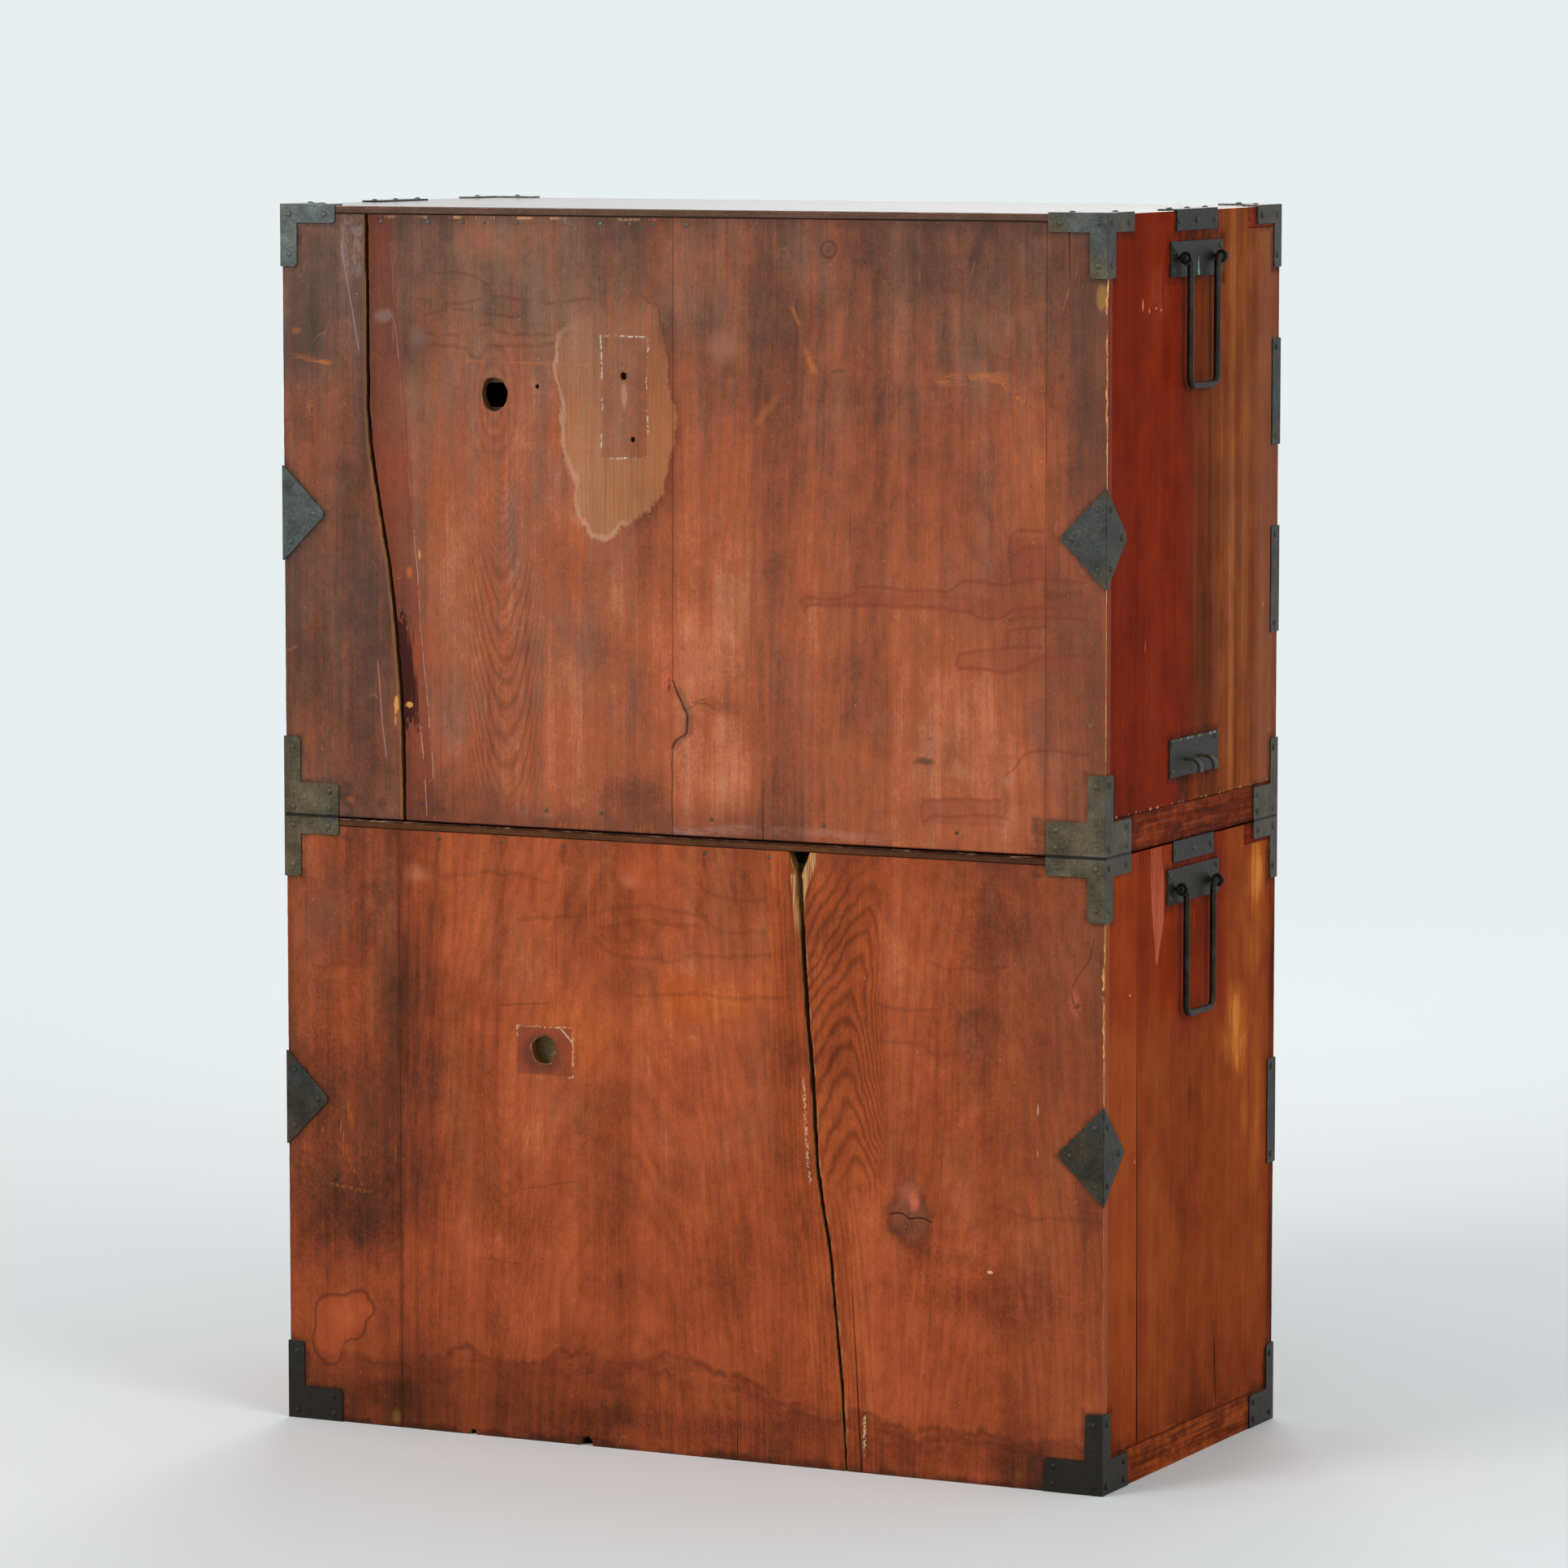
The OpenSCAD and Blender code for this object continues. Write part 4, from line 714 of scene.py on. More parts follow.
def lower_back_material():
    s = Wood("lower_back_wood")
    X, Z = s.X, s.Z
    off_crack = X - s.curve(Z, CRACK_L + [(598, -123)], True)
    left = s.rise(X, 313, 317)
    tone = s.curve(Z, [(0, 0.38), (40, 0.47), (90, 0.57), (250, 0.57), (450, 0.57), (560, 0.56), (598, 0.52)])
    tone = tone - left * s.curve(Z, [(0, -0.02), (100, 0.02), (140, 0.10), (300, 0.20),
        (440, 0.12), (598, 0.06)])
    tone = tone + grain_tone(s, 41, 0.85, 1.15)
    bands = s.curve(X, [(-440, -0.08), (-415, -0.02), (-380, 0.0), (-330, -0.03), (-300, 0.03), (-250, 0.02),
        (-215, 0.0), (-120, -0.08), (-95, 0.04), (-85, 0.08), (-60, 0.02), (-40, 0.07), (0, 0.03), (40, 0.08),
        (80, -0.02), (120, 0.03), (170, 0.06), (220, -0.02), (250, 0.04), (268, -0.10), (290, -0.20),
        (312, -0.22), (318, -0.05), (360, -0.04), (400, 0.02), (440, -0.10)])
    tone = tone + bands * s.curve(Z, [(0, 0.4), (150, 0.6), (300, 0.9), (420, 1.1), (560, 0.9), (598, 0.7)])
    tone = s.clouds(tone, 0.6, ((368, 224, 72, 66, -0.24), (405, 330, 40, 70, -0.14),
        (400, 500, 34, 44, 0.02), (390, 430, 50, 60, -0.06), (400, 560, 40, 40, -0.06),
        (250, 480, 40, 70, 0.08), (180, 215, 70, 26, -0.10), (200, 170, 50, 16, -0.10),
        (30, 520, 70, 40, -0.04), (175, 280, 60, 60, 0.09), (-60, 440, 36, 60, 0.10),
        (-60, 300, 60, 60, 0.05), (-40, 180, 50, 60, -0.06), (-360, 540, 80, 50, -0.12),
        (-310, 380, 60, 60, -0.05), (-270, 500, 60, 40, 0.06), (-330, 180, 90, 34, -0.17),
        (-250, 215, 40, 26, -0.12), (-230, 130, 70, 70, 0.05), (-300, 290, 60, 36, 0.06),
        (-400, 100, 30, 60, 0.04), (60, 30, 200, 22, -0.14), (-330, 20, 80, 16, -0.05),
        (330, 30, 110, 30, -0.10), (380, 105, 30, 24, 0.14), (-425, 250, 18, 120, -0.10),
        (100, 130, 100, 26, 0.05)))
    axis = s.curve(Z, [(250, -194), (313, -191), (391, -182), (434, -181), (487, -193),
        (524, -200), (598, -214)])
    arch = nested(s, axis + (s.wob * 22), 2.3, 6.5, 14, 27, 6)
    arch = arch.most(nested(s, axis + (s.wob * 22), 2.3, 6.5, 14, 9, 6) * 0.16)
    zone = s.rise(off_crack, -2, -5) * s.rise(X + s.wob * 16, -219, -203) * s.between(Z, 310, 545, 70)
    arch = arch * zone
    lean = off_crack * 1.0 + s.A * 0.02
    wavy = s.sine((lean + s.lengthwise(9, 260, 47, 2) * 16) * 0.95) * 0.5 + 0.5
    flank = wavy * wavy * (s.between(off_crack, 4, 34, 8) * s.rise(Z, 10, 60)
        + s.between(off_crack, -34, -5, 8) * s.rise(Z, 330, 250))
    ring = arch.most(flank * 0.55)
    ring = (ring.most(s.figure(60, 0.22, 10, 9) * s.between(X, -90, 300, 30) * 0.30)
        .most(s.figure(-330, 0.12, 8, 2) * s.rise(X, -215, -240) * 0.30))
    fine = nested(s, 196, 7, 7, 50, 15, 12, -1) * s.near(X, 150, 60, 60) * s.between(Z, 120, 330, 60) * 0.35
    ring = ring.most(fine)
    warm = zone * 0.75 + s.between(off_crack, 3, 32, 6) * 0.6 + s.between(off_crack, -30, -3,
        6) * s.rise(Z, 330, 250) * 0.5
    warm = warm + s.spot(128, 408, 120, 66, soft=1.0, ragged=0.5) * 0.6 + s.spot(-30, 447, 66, 28,
        soft=0.8, ragged=0.6) * 0.75
    tone = tone - ring * 0.04 + warm * 0.02
    grey = (s.noise(s.Q, (70, 70, 150), (15, 3, 1), 4, 0.65) - 0.5) * 1.4 + 0.22 + left * 0.16
    grey = grey + s.lengthwise(9, 300, 46, 3) * 0.7 - warm * 0.5 - s.rise(Z, 330, 120) * 0.34
    grey = s.rise(grey, 0.0, 1.0)
    s.colour = s.mix(grey, s.ramp(tone, REDS_LOWER), s.ramp(tone, GREYS_LOWER))
    s.paint(warm.least(1.0) * 0.42, s.ramp(tone, [(0.2, 92, 36, 12), (0.55, 166, 76, 26),
        (0.9, 208, 116, 50)]))
    pores = s.rise(s.noise(s.Q, (0.7, 0.7, 15), (4, 6, 1), 2, 0.6), 0.60, 0.72)
    s.darken(pores, 0.20)
    s.darken(ring, 0.36)

    # Ghost of a square plate, darker inside its chipped outline
    square = s.rule(X, Z, (184, 412), (123, 364))
    within = s.rise(square, 1, -2)
    s.paint(within * 0.55, 110, 50, 38)
    corner = s.rise(X - Z * 1.0, -288, -282)
    chips = s.rise(abs(square + s.wob * 7), 1.1, 0.3) * s.rise(s.grit, 0.45, 0.55) * corner
    chips = chips * (s.near(Z, 412, 3, 3) * s.rise(X, 184, 150) + s.near(X, 123, 3, 3)
        + s.near(X, 184, 3, 3) * s.rise(Z, 398, 406))
    chips = chips.most(s.scratch((136, 412), (123, 399), 0.4, 1.0, 2.4) * s.rise(s.grit, 0.38, 0.48))
    s.paint(chips * 0.75, 216, 182, 148)
    dip = s.rise(((X - 158) * (X - 158) + (Z - 387) * (Z - 387)) ** 0.5 + s.wob * 22
        + (s.grit - 0.5) * 4, 26, 14)
    s.paint(dip * 0.6, 78, 42, 34)

    # Tide lines near the floor and in the top half
    tide_points = [(-437, 50), (-397, 48), (-369, 45), (-346, 46), (-322, 52), (-303, 48), (-265, 49),
        (-246, 43), (-232, 50), (-190, 56), (-124, 59), (-112, 60), (-88, 73), (-64, 82), (-34, 86),
        (-15, 93), (21, 97), (44, 89), (78, 86), (106, 92), (140, 92), (164, 75), (203, 76), (242, 86),
        (261, 82), (335, 65), (379, 70), (437, 62)]
    jag = (s.noise1(X, 13, 4.0, 4) - 0.5) * 16
    off = Z - s.curve(X, tide_points) + s.wob * 16 + jag
    tide = s.rise(abs(off), 6, 0.4) * s.rise(s.noise1(X, 60, 2.0, 3), 0.26, 0.56)
    second = Z - s.curve(X, tide_points) + 9 + s.wob * 40 - jag
    tide = tide.most(s.rise(abs(second), 8, 0.5) * s.between(X, -380, -60, 30) * 0.8)
    tide = tide.most(s.rise(abs(second + 12 + jag * 2), 5, 0.3)
        * s.rise(s.noise1(X, 40, 7.0, 3), 0.44, 0.62) * 0.7)
    s.paint(tide * s.patches(0.30, 0.56, (22, 22, 9), (8, 3, 3), 3, 0.6) * 0.50, 78, 36, 20)
    s.paint(s.between(X + s.wob * 12, -15, 24, 6) * s.between(Z + s.wob * 10, 429, 474, 8)
        * s.streaks(0.3, 0.6, 2, 20, 23) * 0.42, 184, 76, 26)
    s.paint(s.spot(404, 500, 44, 90, soft=1.0, ragged=0.6) * 0.55, 86, 62, 50)
    s.paint(s.rise(Z + s.wob * 60, 130, 40) * s.rise(X, -60, 200) * 0.34, 74, 32, 2)
    brown = s.rise(X + s.wob * 60, -300, -410) * s.curve(Z, [(0, 0.2), (200, 0.16), (400, 0.34), (600, 0.44)])
    s.paint(brown, 90, 56, 40)
    low = s.rise(off, 4, -4) * s.rise(off, -60, -10) * s.patches(0.30, 0.62, (46, 30, 16), (1, 4, 7), 4, 0.66)
    s.darken(low, 0.28)
    lines = strokes(s, [[(342, 506), (346, 486), (357, 470), (366, 462)],
        [(344, 515), (350, 506), (342, 496)], [(338, 540), (336, 528), (345, 514)],
        [(366, 461), (381, 463), (401, 459), (414, 459)], [(337, 538), (350, 542), (361, 536)],
        [(-88, 518), (-45, 516), (-15, 532), (43, 535), (114, 523), (181, 516)],
        [(-93, 498), (-54, 492), (-15, 492), (29, 484), (72, 488), (98, 505)],
        [(-15, 521), (39, 521), (91, 515)], [(-88, 550), (-74, 548), (-45, 548), (-25, 552), (-16, 571)],
        [(-283, 461), (-241, 453), (-201, 457)], [(-302, 414), (-274, 410), (-246, 420), (-208, 421)],
        [(-440, 262), (-380, 262), (-330, 270)], [(-260, 500), (-300, 494), (-340, 500)],
        [(60, 449), (10, 452), (-15, 455)], [(-120, 456), (-60, 452), (-20, 455)],
        [(300, 560), (250, 556), (200, 560), (150, 552)], [(340, 280), (380, 262), (430, 268)],
        [(340, 240), (390, 230), (436, 236)]], 0.3, 3.6, 16)
    s.paint(lines * 0.27, 90, 40, 26)
    lobe = s.rise(X, 342, 356) * s.between(Z, 462, 540, 8) * s.rise(X, 400, 365)
    s.darken(lobe * s.rise(s.wob, -0.1, 0.1), 0.14)
    stain = s.outline((384, 98), [(414, 98), (409, 122), (384, 128), (354, 129), (347, 116), (352, 98),
        (364, 86), (379, 83), (384, 69), (404, 61), (417, 80)])
    s.paint(s.rise(stain, 0, 8) * 0.28, 184, 82, 42)
    s.paint(s.rise(abs(stain), 3.0, 0.4) * 0.55, 78, 34, 20)

    # Knots
    ragged = (s.noise(s.P, (14, 14, 14), (5, 5, 2), 3, 0.6) - 0.5) * 20
    knot = (((X + 241) * (X + 241)) * 1.2 + (Z - 252) * (Z - 252) * 0.62) ** 0.5 + s.wob * 14 + ragged
    s.paint(s.rise(knot, 25, 18) * 0.5, 142, 78, 52)
    s.paint(s.rise(abs(knot - 22), 9, 0.5) * 0.52, 72, 38, 25)
    s.paint(s.rise(knot, 23, 12) * 0.40, 96, 64, 46)
    s.paint(s.spot(-246, 268, 8, 13, soft=0.8, ragged=0.8) * 0.7, 214, 112, 78)
    smear = s.spots((-228, 238, 26, 12, 1.0, 0.9, 1), (-285, 216, 60, 12, 1.0, 0.9, 0.6))
    s.paint(smear * 0.38, 70, 36, 24)
    s.paint((s.sine(knot * 1.6) * 0.5 + 0.5) * s.rise(knot, 40, 20) * 0.22, 70, 34, 22)
    s.paint(s.spot(-240, 277, 18, 13, soft=0.9, ragged=0.8) * 0.5, 186, 98, 72)
    s.paint(s.spot(-238, 243, 15, 12, soft=0.9, ragged=0.8) * 0.4, 74, 46, 34)
    cracks = strokes(s, [[(-221, 254), (-232, 256), (-243, 252), (-252, 253), (-263, 250)]], 0.3, 1.0, 9)
    cracks = cracks.most(strokes(s, [[(-236, 236), (-238, 246)], [(-244, 238), (-243, 247)],
        [(-240, 255), (-242, 264)], [(-250, 240), (-247, 248)]], 0.1, 0.8, 9) * 0.5)
    s.paint(cracks * 0.85, 30, 16, 12)
    flake = s.spot(-413, 468, 9, 17, soft=0.5, ragged=1.2)
    s.paint(flake * s.rise(s.grit, 0.42, 0.52) * 0.5, 186, 96, 68)
    cracks = strokes(s, [[(-418, 459), (-412, 467), (-409, 478)],
        [(-410, 485), (-419, 500), (-428, 514), (-432, 530)]], 0.1, 1.1, 9)
    cracks = cracks.spots((-415, 466, 4, 6, 0.8, 1.2, 0.8))
    s.paint(cracks * 0.6, 56, 28, 18)

    # Raw wood and chips beside the notch and along the cracks
    lip = s.near(off_crack, -3.6, 0.5, 1.2) * s.rise(s.noise1(Z, 26, 2.3, 3), 0.48, 0.60)
    s.paint(lip * 0.55, 176, 118, 78)
    pale = s.between(off_crack + s.wob * 2, 1.0, 7.5, 1.0) * s.rise(Z, 500, 572) * s.rise(Z, 578, 574)
    lean = s.curve(Z, [(540, -1), (560, -7), (580, -15), (598, -19)])
    pale = pale.most(s.rise(off_crack - lean + s.wob * 8, -1, 1) * s.rise(off_crack, -1, -3)
        * s.rise(Z, 542, 552) * 0.9)
    pale = pale.most(s.spot(-152, 590, 4, 5, soft=0.7, ragged=1.8) * s.rise(s.grit, 0.5, 0.58))
    wood = s.mix(s.streaks(0.42, 0.60, 1.6, 40, 48, 2), rgb(204, 160, 104), rgb(138, 84, 44))
    s.paint(pale * 0.85, wood)
    chip = s.spot(-194, 28, 2.2, 24, soft=0.5, ragged=2.0) * s.rise(s.grit, 0.48, 0.58)
    chip = chip.most(s.between(off_crack, 8, 10.5, 0.8) * s.between(Z, 285, 372, 10)
        * s.rise(s.grit, 0.46, 0.56) * 0.7)
    chip = chip.spots((-326, 206, 3.2, 1.8, 0.4, 0.6, 1), (-375, 365, 1.1, 5, 0.8, 1.4, 0.5),
        (-375, 323, 1.0, 5, 0.8, 1.4, 0.5))
    s.paint(chip * 0.8, 220, 184, 142)
    seam = s.near(X, 315, 2.0, 3.0)
    s.darken(seam, 0.22)
    split = strokes(s, [[(-191, 2), (-186, 90), (-181, 169)]], 0.2, 0.9, 2)
    s.paint(split * 0.6, 58, 26, 16)
    hairs = strokes(s, [[(180, 175), (215, 178)], [(120, 262), (178, 250)],
        [(205, 430), (150, 436)]], 0.2, 1.4, 8)
    s.paint(hairs * 0.35, 80, 36, 22)

    # Nail stains, rubbed spots
    for x in (270, 201, 132, -22, -91):
        s.paint(s.spot(x, 583, 4, 13, soft=1.0, ragged=0.6) * 0.4, 70, 34, 20)
    scrape = s.spot(379, 300, 12, 40, soft=0.6, ragged=1.4) * s.streaks(0.52, 0.62, 2.2, 26, 49, 2)
    scrape = scrape.most(s.scratch((398, 240), (352, 234), 0.3, 3.4, 4.0) * s.rise(s.grit, 0.44, 0.6) * 0.6)
    scrape = scrape.most(s.scratch((386, 282), (358, 240), 0.3, 3.0, 4.0) * s.rise(s.grit, 0.44, 0.6) * 0.45)
    s.paint(scrape * 0.6, 186, 104, 36)
    lights = s.spot(60, 560, 12, 10, soft=1.0) * 0.35 + s.spot(292, 555, 18, 14, soft=0.9, ragged=1.0) * 0.4
    s.paint(lights, 196, 124, 92)
    black = (s.spot(109, 6, 26, 10, soft=0.8, ragged=1.0).most(s.rise(Z + s.wob * 14
        + s.lengthwise(20, 20, 50, 3) * 24, 9, 0)))
    s.paint(black * 0.65, 34, 22, 16)
    green = s.spots((322, 10, 6, 9, 0.7, 1.0, 1), (-357, 14, 5, 9, 0.8, 1.0, 0.6))
    s.paint(green * 0.5, 128, 96, 30)
    fine_marks(s, 8, 0.24, (196, 132, 96),
               (0.79, 0.85, 2.8, (12, 9, 5), 0.65, (208, 160, 120)),
               (0.77, 0.84, 3.4, (17, 2, 2), 0.6, (56, 28, 18)))
    places = [((370, 589), (452, 612)), ((425, 546), (452, 612)), ((370, -9), (452, 33)),
        ((425, -9), (452, 78)), (442.5, 324, 45, 47)]
    s.paint(halos(s, abs(X), places) * 0.55, 44, 30, 22)
    height = finish_back(s, ring, [
        (0, 0.1), (60, 0.2), (280, 0.3), (360, 0.6), (375, 1.0), (540, 1.0), (552, 0.2), (598, 0.1)])
    rough = 0.46 + (s.grit - 0.5) * 0.3 + grey * 0.08
    return s.finish(rough, height, Specular_IOR_Level=0.10)


REDS_SIDE = [(0.0, 54, 12, 4), (0.3, 94, 24, 8), (0.5, 124, 36, 11), (0.75, 148, 54, 18), (1.0, 184, 98, 40)]
BROWNS_SIDE = [(0.0, 46, 20, 8), (0.3, 94, 42, 16), (0.5, 126, 60, 26), (0.75, 164, 90, 44),
    (1.0, 210, 146, 88)]
ORANGES_SIDE = [(0.0, 60, 22, 6), (0.3, 104, 42, 13), (0.5, 140, 61, 24), (0.72, 168, 84, 32),
    (1.0, 208, 126, 56)]


def side_material():
    """The outer boards of both cases, seen from the sides: wiped red over brown, streaked to the grain."""
    s = Wood("side_lacquer", across="Y", along="Z", depth="X")
    Y, Z = s.Y, s.Z
    upper = s.rise(Z, 606, 608)
    shown = s.rise(s.X, 100, -100)
    waver = Y + s.lengthwise(14, 240, 58, 2) * 30
    fine = s.lengthwise(9, 700, 52, 3) * 0.20 + s.lengthwise(3, 420, 53,
        3) * 0.26 + s.lengthwise(1.2, 160, 54, 2) * 0.28
    cloud = (s.noise(s.Q, (40, 40, 60), (6, 4, 1), 4, 0.62) - 0.5) * 0.5 + (s.grit - 0.5) * 0.16

    # Upper case: deep red behind, browner and streaked in front
    brown = s.curve(waver, [(-212, 0.85), (-185, 0.8), (-158, 0.9), (-118, 0.95), (-90, 0.95), (-60, 0.9),
        (-30, 0.85), (0, 0.5), (22, 0.15), (60, 0.0), (212, 0.0)])
    ground = s.curve(Y, [(-212, 0.40), (-205, 0.44), (-188, 0.55), (-165, 0.56), (-150, 0.50), (-135, 0.52),
        (-120, 0.54), (-106, 0.48), (-94, 0.66), (-84, 0.52), (-66, 0.51), (-52, 0.46), (-30, 0.38),
        (-8, 0.40), (15, 0.44), (60, 0.47), (110, 0.50), (150, 0.46), (200, 0.42), (212, 0.38)])
    tone_u = ground + fine * (0.7 + brown * 0.5) + cloud
    tone_u = tone_u + s.spot(-110, 1130, 40, 60, soft=1.0) * 0.14 - s.spot(-20, 760, 60, 90, soft=1.0) * 0.08
    tone_u = tone_u - s.spot(160, 660, 70, 40, soft=1.0, ragged=0.6) * 0.10 + s.spot(90, 1140, 60, 30,
        soft=1.0, ragged=0.6) * 0.06
    col_u = s.mix(brown.most(0.0).least(1.0), s.ramp(tone_u, REDS_SIDE), s.ramp(tone_u, BROWNS_SIDE))
    pale = s.near(Y + s.wob * 6, -95, 3.5, 5) * s.rise(Z, 1000, 900) * s.rise(Z, 640, 690) * s.streaks(0.35,
        0.55, 2, 120, 63, 2)
    pale = pale.most(s.near(Y + s.wob * 6, -128, 4, 7) * s.rise(Z, 1130, 1000) * s.rise(Z, 700, 800) * 0.6)
    col_u = s.mix(pale * 0.34, col_u, rgb(180, 116, 74))
    ashen = s.streaks(0.42, 0.62, 7, 260, 67, 3) * brown * s.rise(Z, 640, 760)
    col_u = s.mix(ashen * 0.34, col_u, rgb(122, 78, 56))
    col_u = s.mix(s.rise(Y, -140, -180) * 0.30, col_u, rgb(150, 104, 82))
    dark = s.spots((-60, 1060, 34, 60, 1.0, 0.8, 1), (-30, 800, 30, 120, 1.0, 0.6, 0.7))
    col_u = s.mix(dark * 0.30, col_u, rgb(70, 34, 22))

    # Lower case: orange brown, with a brighter flame towards the front
    ground = s.curve(Y, [(-212, 0.30), (-200, 0.36), (-185, 0.48), (-160, 0.52), (-135, 0.50), (-100, 0.50),
        (-50, 0.48), (0, 0.46), (32, 0.50), (80, 0.54), (125, 0.52), (134, 0.56), (170, 0.56), (212, 0.50)])
    tone_l = ground + fine * 0.8 + cloud * 0.9
    flame = s.spot(-160, 558, 30, 74, soft=1.0, ragged=0.7) * 1.5
    flame = flame.spots((-112, 410, 42, 72, 1.0, 0.8, 1.3))
    flame = flame.spots((-150, 480, 34, 44, 1.0, 0.8, 0.6), (-134, 320, 16, 44, 1.0, 0.8, 0.5))
    flame = flame.spots((-168, 330, 22, 130, 1.0, 0.6, 0.5))
    tone_l = tone_l + flame * (0.8 + s.lengthwise(6, 60, 64, 3) * 1.4) * 0.40
    tone_l = tone_l - s.rise(Z + s.wob * 60, 170, 30) * 0.10 - s.spot(0, 250, 60, 60,
        soft=1.0) * 0.05 - s.spot(-40, 520, 44, 60, soft=1.0) * 0.12
    tone_l = tone_l - s.spot(40, 330, 90, 150, soft=1.0, ragged=0.5) * 0.07 + s.rise(Y, 128, 134) * 0.08
    tone_l = tone_l + s.spot(60, 540, 36, 50, soft=1.0) * 0.03
    redder = ((s.rise(Y + s.wob * 50, 60, 150) * 0.35).most(s.rise(Z + s.wob * 80, 380, 480)
        * s.between(Y + s.wob * 30, -70, 200, 30) * 0.8))
    col_l = s.mix(redder, s.ramp(tone_l, ORANGES_SIDE), s.ramp(tone_l, REDS_SIDE))
    s.colour = s.mix(upper, col_l, col_u)
    pores = s.rise(s.noise(s.Q, (0.7, 0.7, 18), (4, 6, 1), 2, 0.6), 0.60, 0.72)
    s.darken(pores, 0.22)

    # Dirt at the joints of the boards and along the front edge, and a painted highlight on that edge
    joint = s.near(Z, UPPER_Z + 35, 0.5, 1.1).most(s.near(Z, 35, 0.5, 1.1))
    joint = (joint.most((s.near(Z, 1190, 0.3, 0.9).most(s.near(Z, 586, 0.3, 0.9))) * s.rise(Y, -131, -133))
        .most(s.near(Y, -132, 0.3, 0.8) * s.rise(Z, 1189, 1191)))
    s.darken(joint, 0.70)
    chips = s.near(Z, UPPER_Z + 36.5, 0.5, 1.2) * s.rise(s.noise1(Y, 9, 4.0, 3), 0.56,
        0.64) * s.rise(s.grit, 0.42, 0.5)
    chips = chips.most(s.near(Z, UPPER_Z + 34, 0.6, 1.0) * s.rise(s.noise1(Y, 13, 9.0, 3), 0.60, 0.66))
    s.paint(chips * shown * 0.9, 206, 158, 116)
    front = s.rise(Y + s.wob * 18, -192, -212) * s.patches(0.36, 0.60, (10, 10, 46), (6, 1, 4), 3, 0.6)
    s.darken(front * (1.0 - upper * 0.6), 0.62)
    # Painted highlight along the front edge, broken along its length
    rim = s.rise(Y, -210.2, -211.6) * s.rise(s.noise1(Z, 34, 5.0, 3), 0.40, 0.54)
    s.paint(rim * 0.8, 198, 118, 52)
    s.darken(s.rise(Y, 209.5, 211.5) * 0.6, 0.3)

    # A pale run of spilt stuff below the gap, rubbed spots, drips
    run = s.curve(Z, [(492, 0.5), (515, 7), (540, 13.5), (570, 15), (590, 12), (604, 11)])
    d = abs(Y - s.curve(Z, [(492, 86), (540, 83), (570, 85), (604,
        88)])) - run + s.wob * 9 + (s.grit - 0.5) * 2
    inside = s.rise(d, 0.8, -0.8) * s.rise(Z, 491, 496)
    spilt = s.mix(s.streaks(0.40, 0.62, 2.2, 50, 61, 3), rgb(190, 98, 70), rgb(158, 68, 46))
    s.paint(inside * shown * (1.0 - upper) * s.curve(Z, [(492, 0.95), (560, 0.75), (604, 0.5)]), spilt)
    s.paint(s.rise(abs(d), 1.2, 0.2) * s.rise(Z, 491, 496) * shown * (1.0 - upper) * 0.35, 206, 130, 96)
    drip = ((s.between(Y + s.wob * 10, 10, 48, 8) * s.between(Z, 606, 668, 8))
        .most(s.between(Y, -70, -20, 14) * s.between(Z, 612, 664, 14) * 0.5))
    drip = drip * s.streaks(0.38, 0.60, 7, 40, 62, 3)
    s.paint(drip * 0.75, 48, 34, 26)
    rubbed = s.spots((128, 1123, 2.0, 7, 0.6, 0.25, 1), (112, 1117, 1.6, 3.4, 0.6, 0.25, 1),
        (96, 1119, 2.6, 1.6, 0.6, 0.25, 1))
    rubbed = rubbed.spots((84, 1117, 2.6, 1.4, 0.6, 0.25, 1), (150, 471, 3, 1.4, 0.6, 0.25, 1),
        (118, 800, 1.2, 8, 0.8, 0.8, 0.6))
    rubbed = rubbed.spots((-176, 820, 3, 6, 0.9, 0.25, 0.5), (137, 310, 1.4, 3, 0.6, 0.25, 1))
    s.paint(rubbed * shown * 0.9, 226, 138, 92)
    cloud = s.spot(90, 1130, 30, 44, soft=1.0, ragged=0.8) * s.streaks(0.42, 0.6, 5, 60, 66, 2)
    s.paint(cloud * shown * upper * 0.35, 168, 84, 60)
    knot = s.spots((2, 357, 9, 17, 0.9, 0.7, 1), (160, 110, 5, 10, 0.9, 0.9, 0.7))
    s.paint(knot * shown * 0.5, 58, 24, 12)
    fissure = s.scratch((-62, 122), (-67, 44), 0.4, 1.0) + s.near(Y, -64, 6,
        14) * s.between(Z, 40, 90, 30) * 0.18
    s.paint(fissure * 0.8, 30, 14, 8)
    seam = s.near(Y - Z * 0.014, 127.5, 0.5, 1.6)
    s.paint(seam * (1.0 - upper) * s.curve(Z, [(35, 1.0), (330, 0.9), (420, 0.5), (560, 0.3)])
        * s.rise(Z, 34, 42) * 0.9, 30, 12, 7)
    dusk = s.rise(Z + s.wob * 20, 62, 34) * s.patches(0.40, 0.60, (24, 24, 9), (2, 4, 4), 4, 0.6)
    s.darken(dusk * (1.0 - upper), 0.35)
    fine_marks(s, 12, 0.18, (186, 112, 70),
               (0.81, 0.87, 3.0, (22, 9, 5), 0.6, (202, 136, 90)),
               (0.77, 0.84, 3.6, (27, 2, 2), 0.6, (44, 18, 10)))
    places = [((-66, 1144), (66, 1184)), ((-52, 1187), (52, 1216)), ((-62, 667), (62, 708)),
        ((-66, 544), (66, 584)), ((-52, 583), (52, 612))]
    dirt = halos(s, Y, places, 8)
    places = [((150, 1190), (224, 1216)), ((192, 1148), (224, 1216)), ((150, 590), (224, 642)),
        ((192, 545), (224, 687)), ((150, -9), (224, 35)), ((192, -9), (224, 80))]
    dirt = (dirt.most(halos(s, abs(Y), places, 7)).most(halos(s, Y,
        [(212, 907, 45, 47), (212, 324, 45, 47)], 6)))
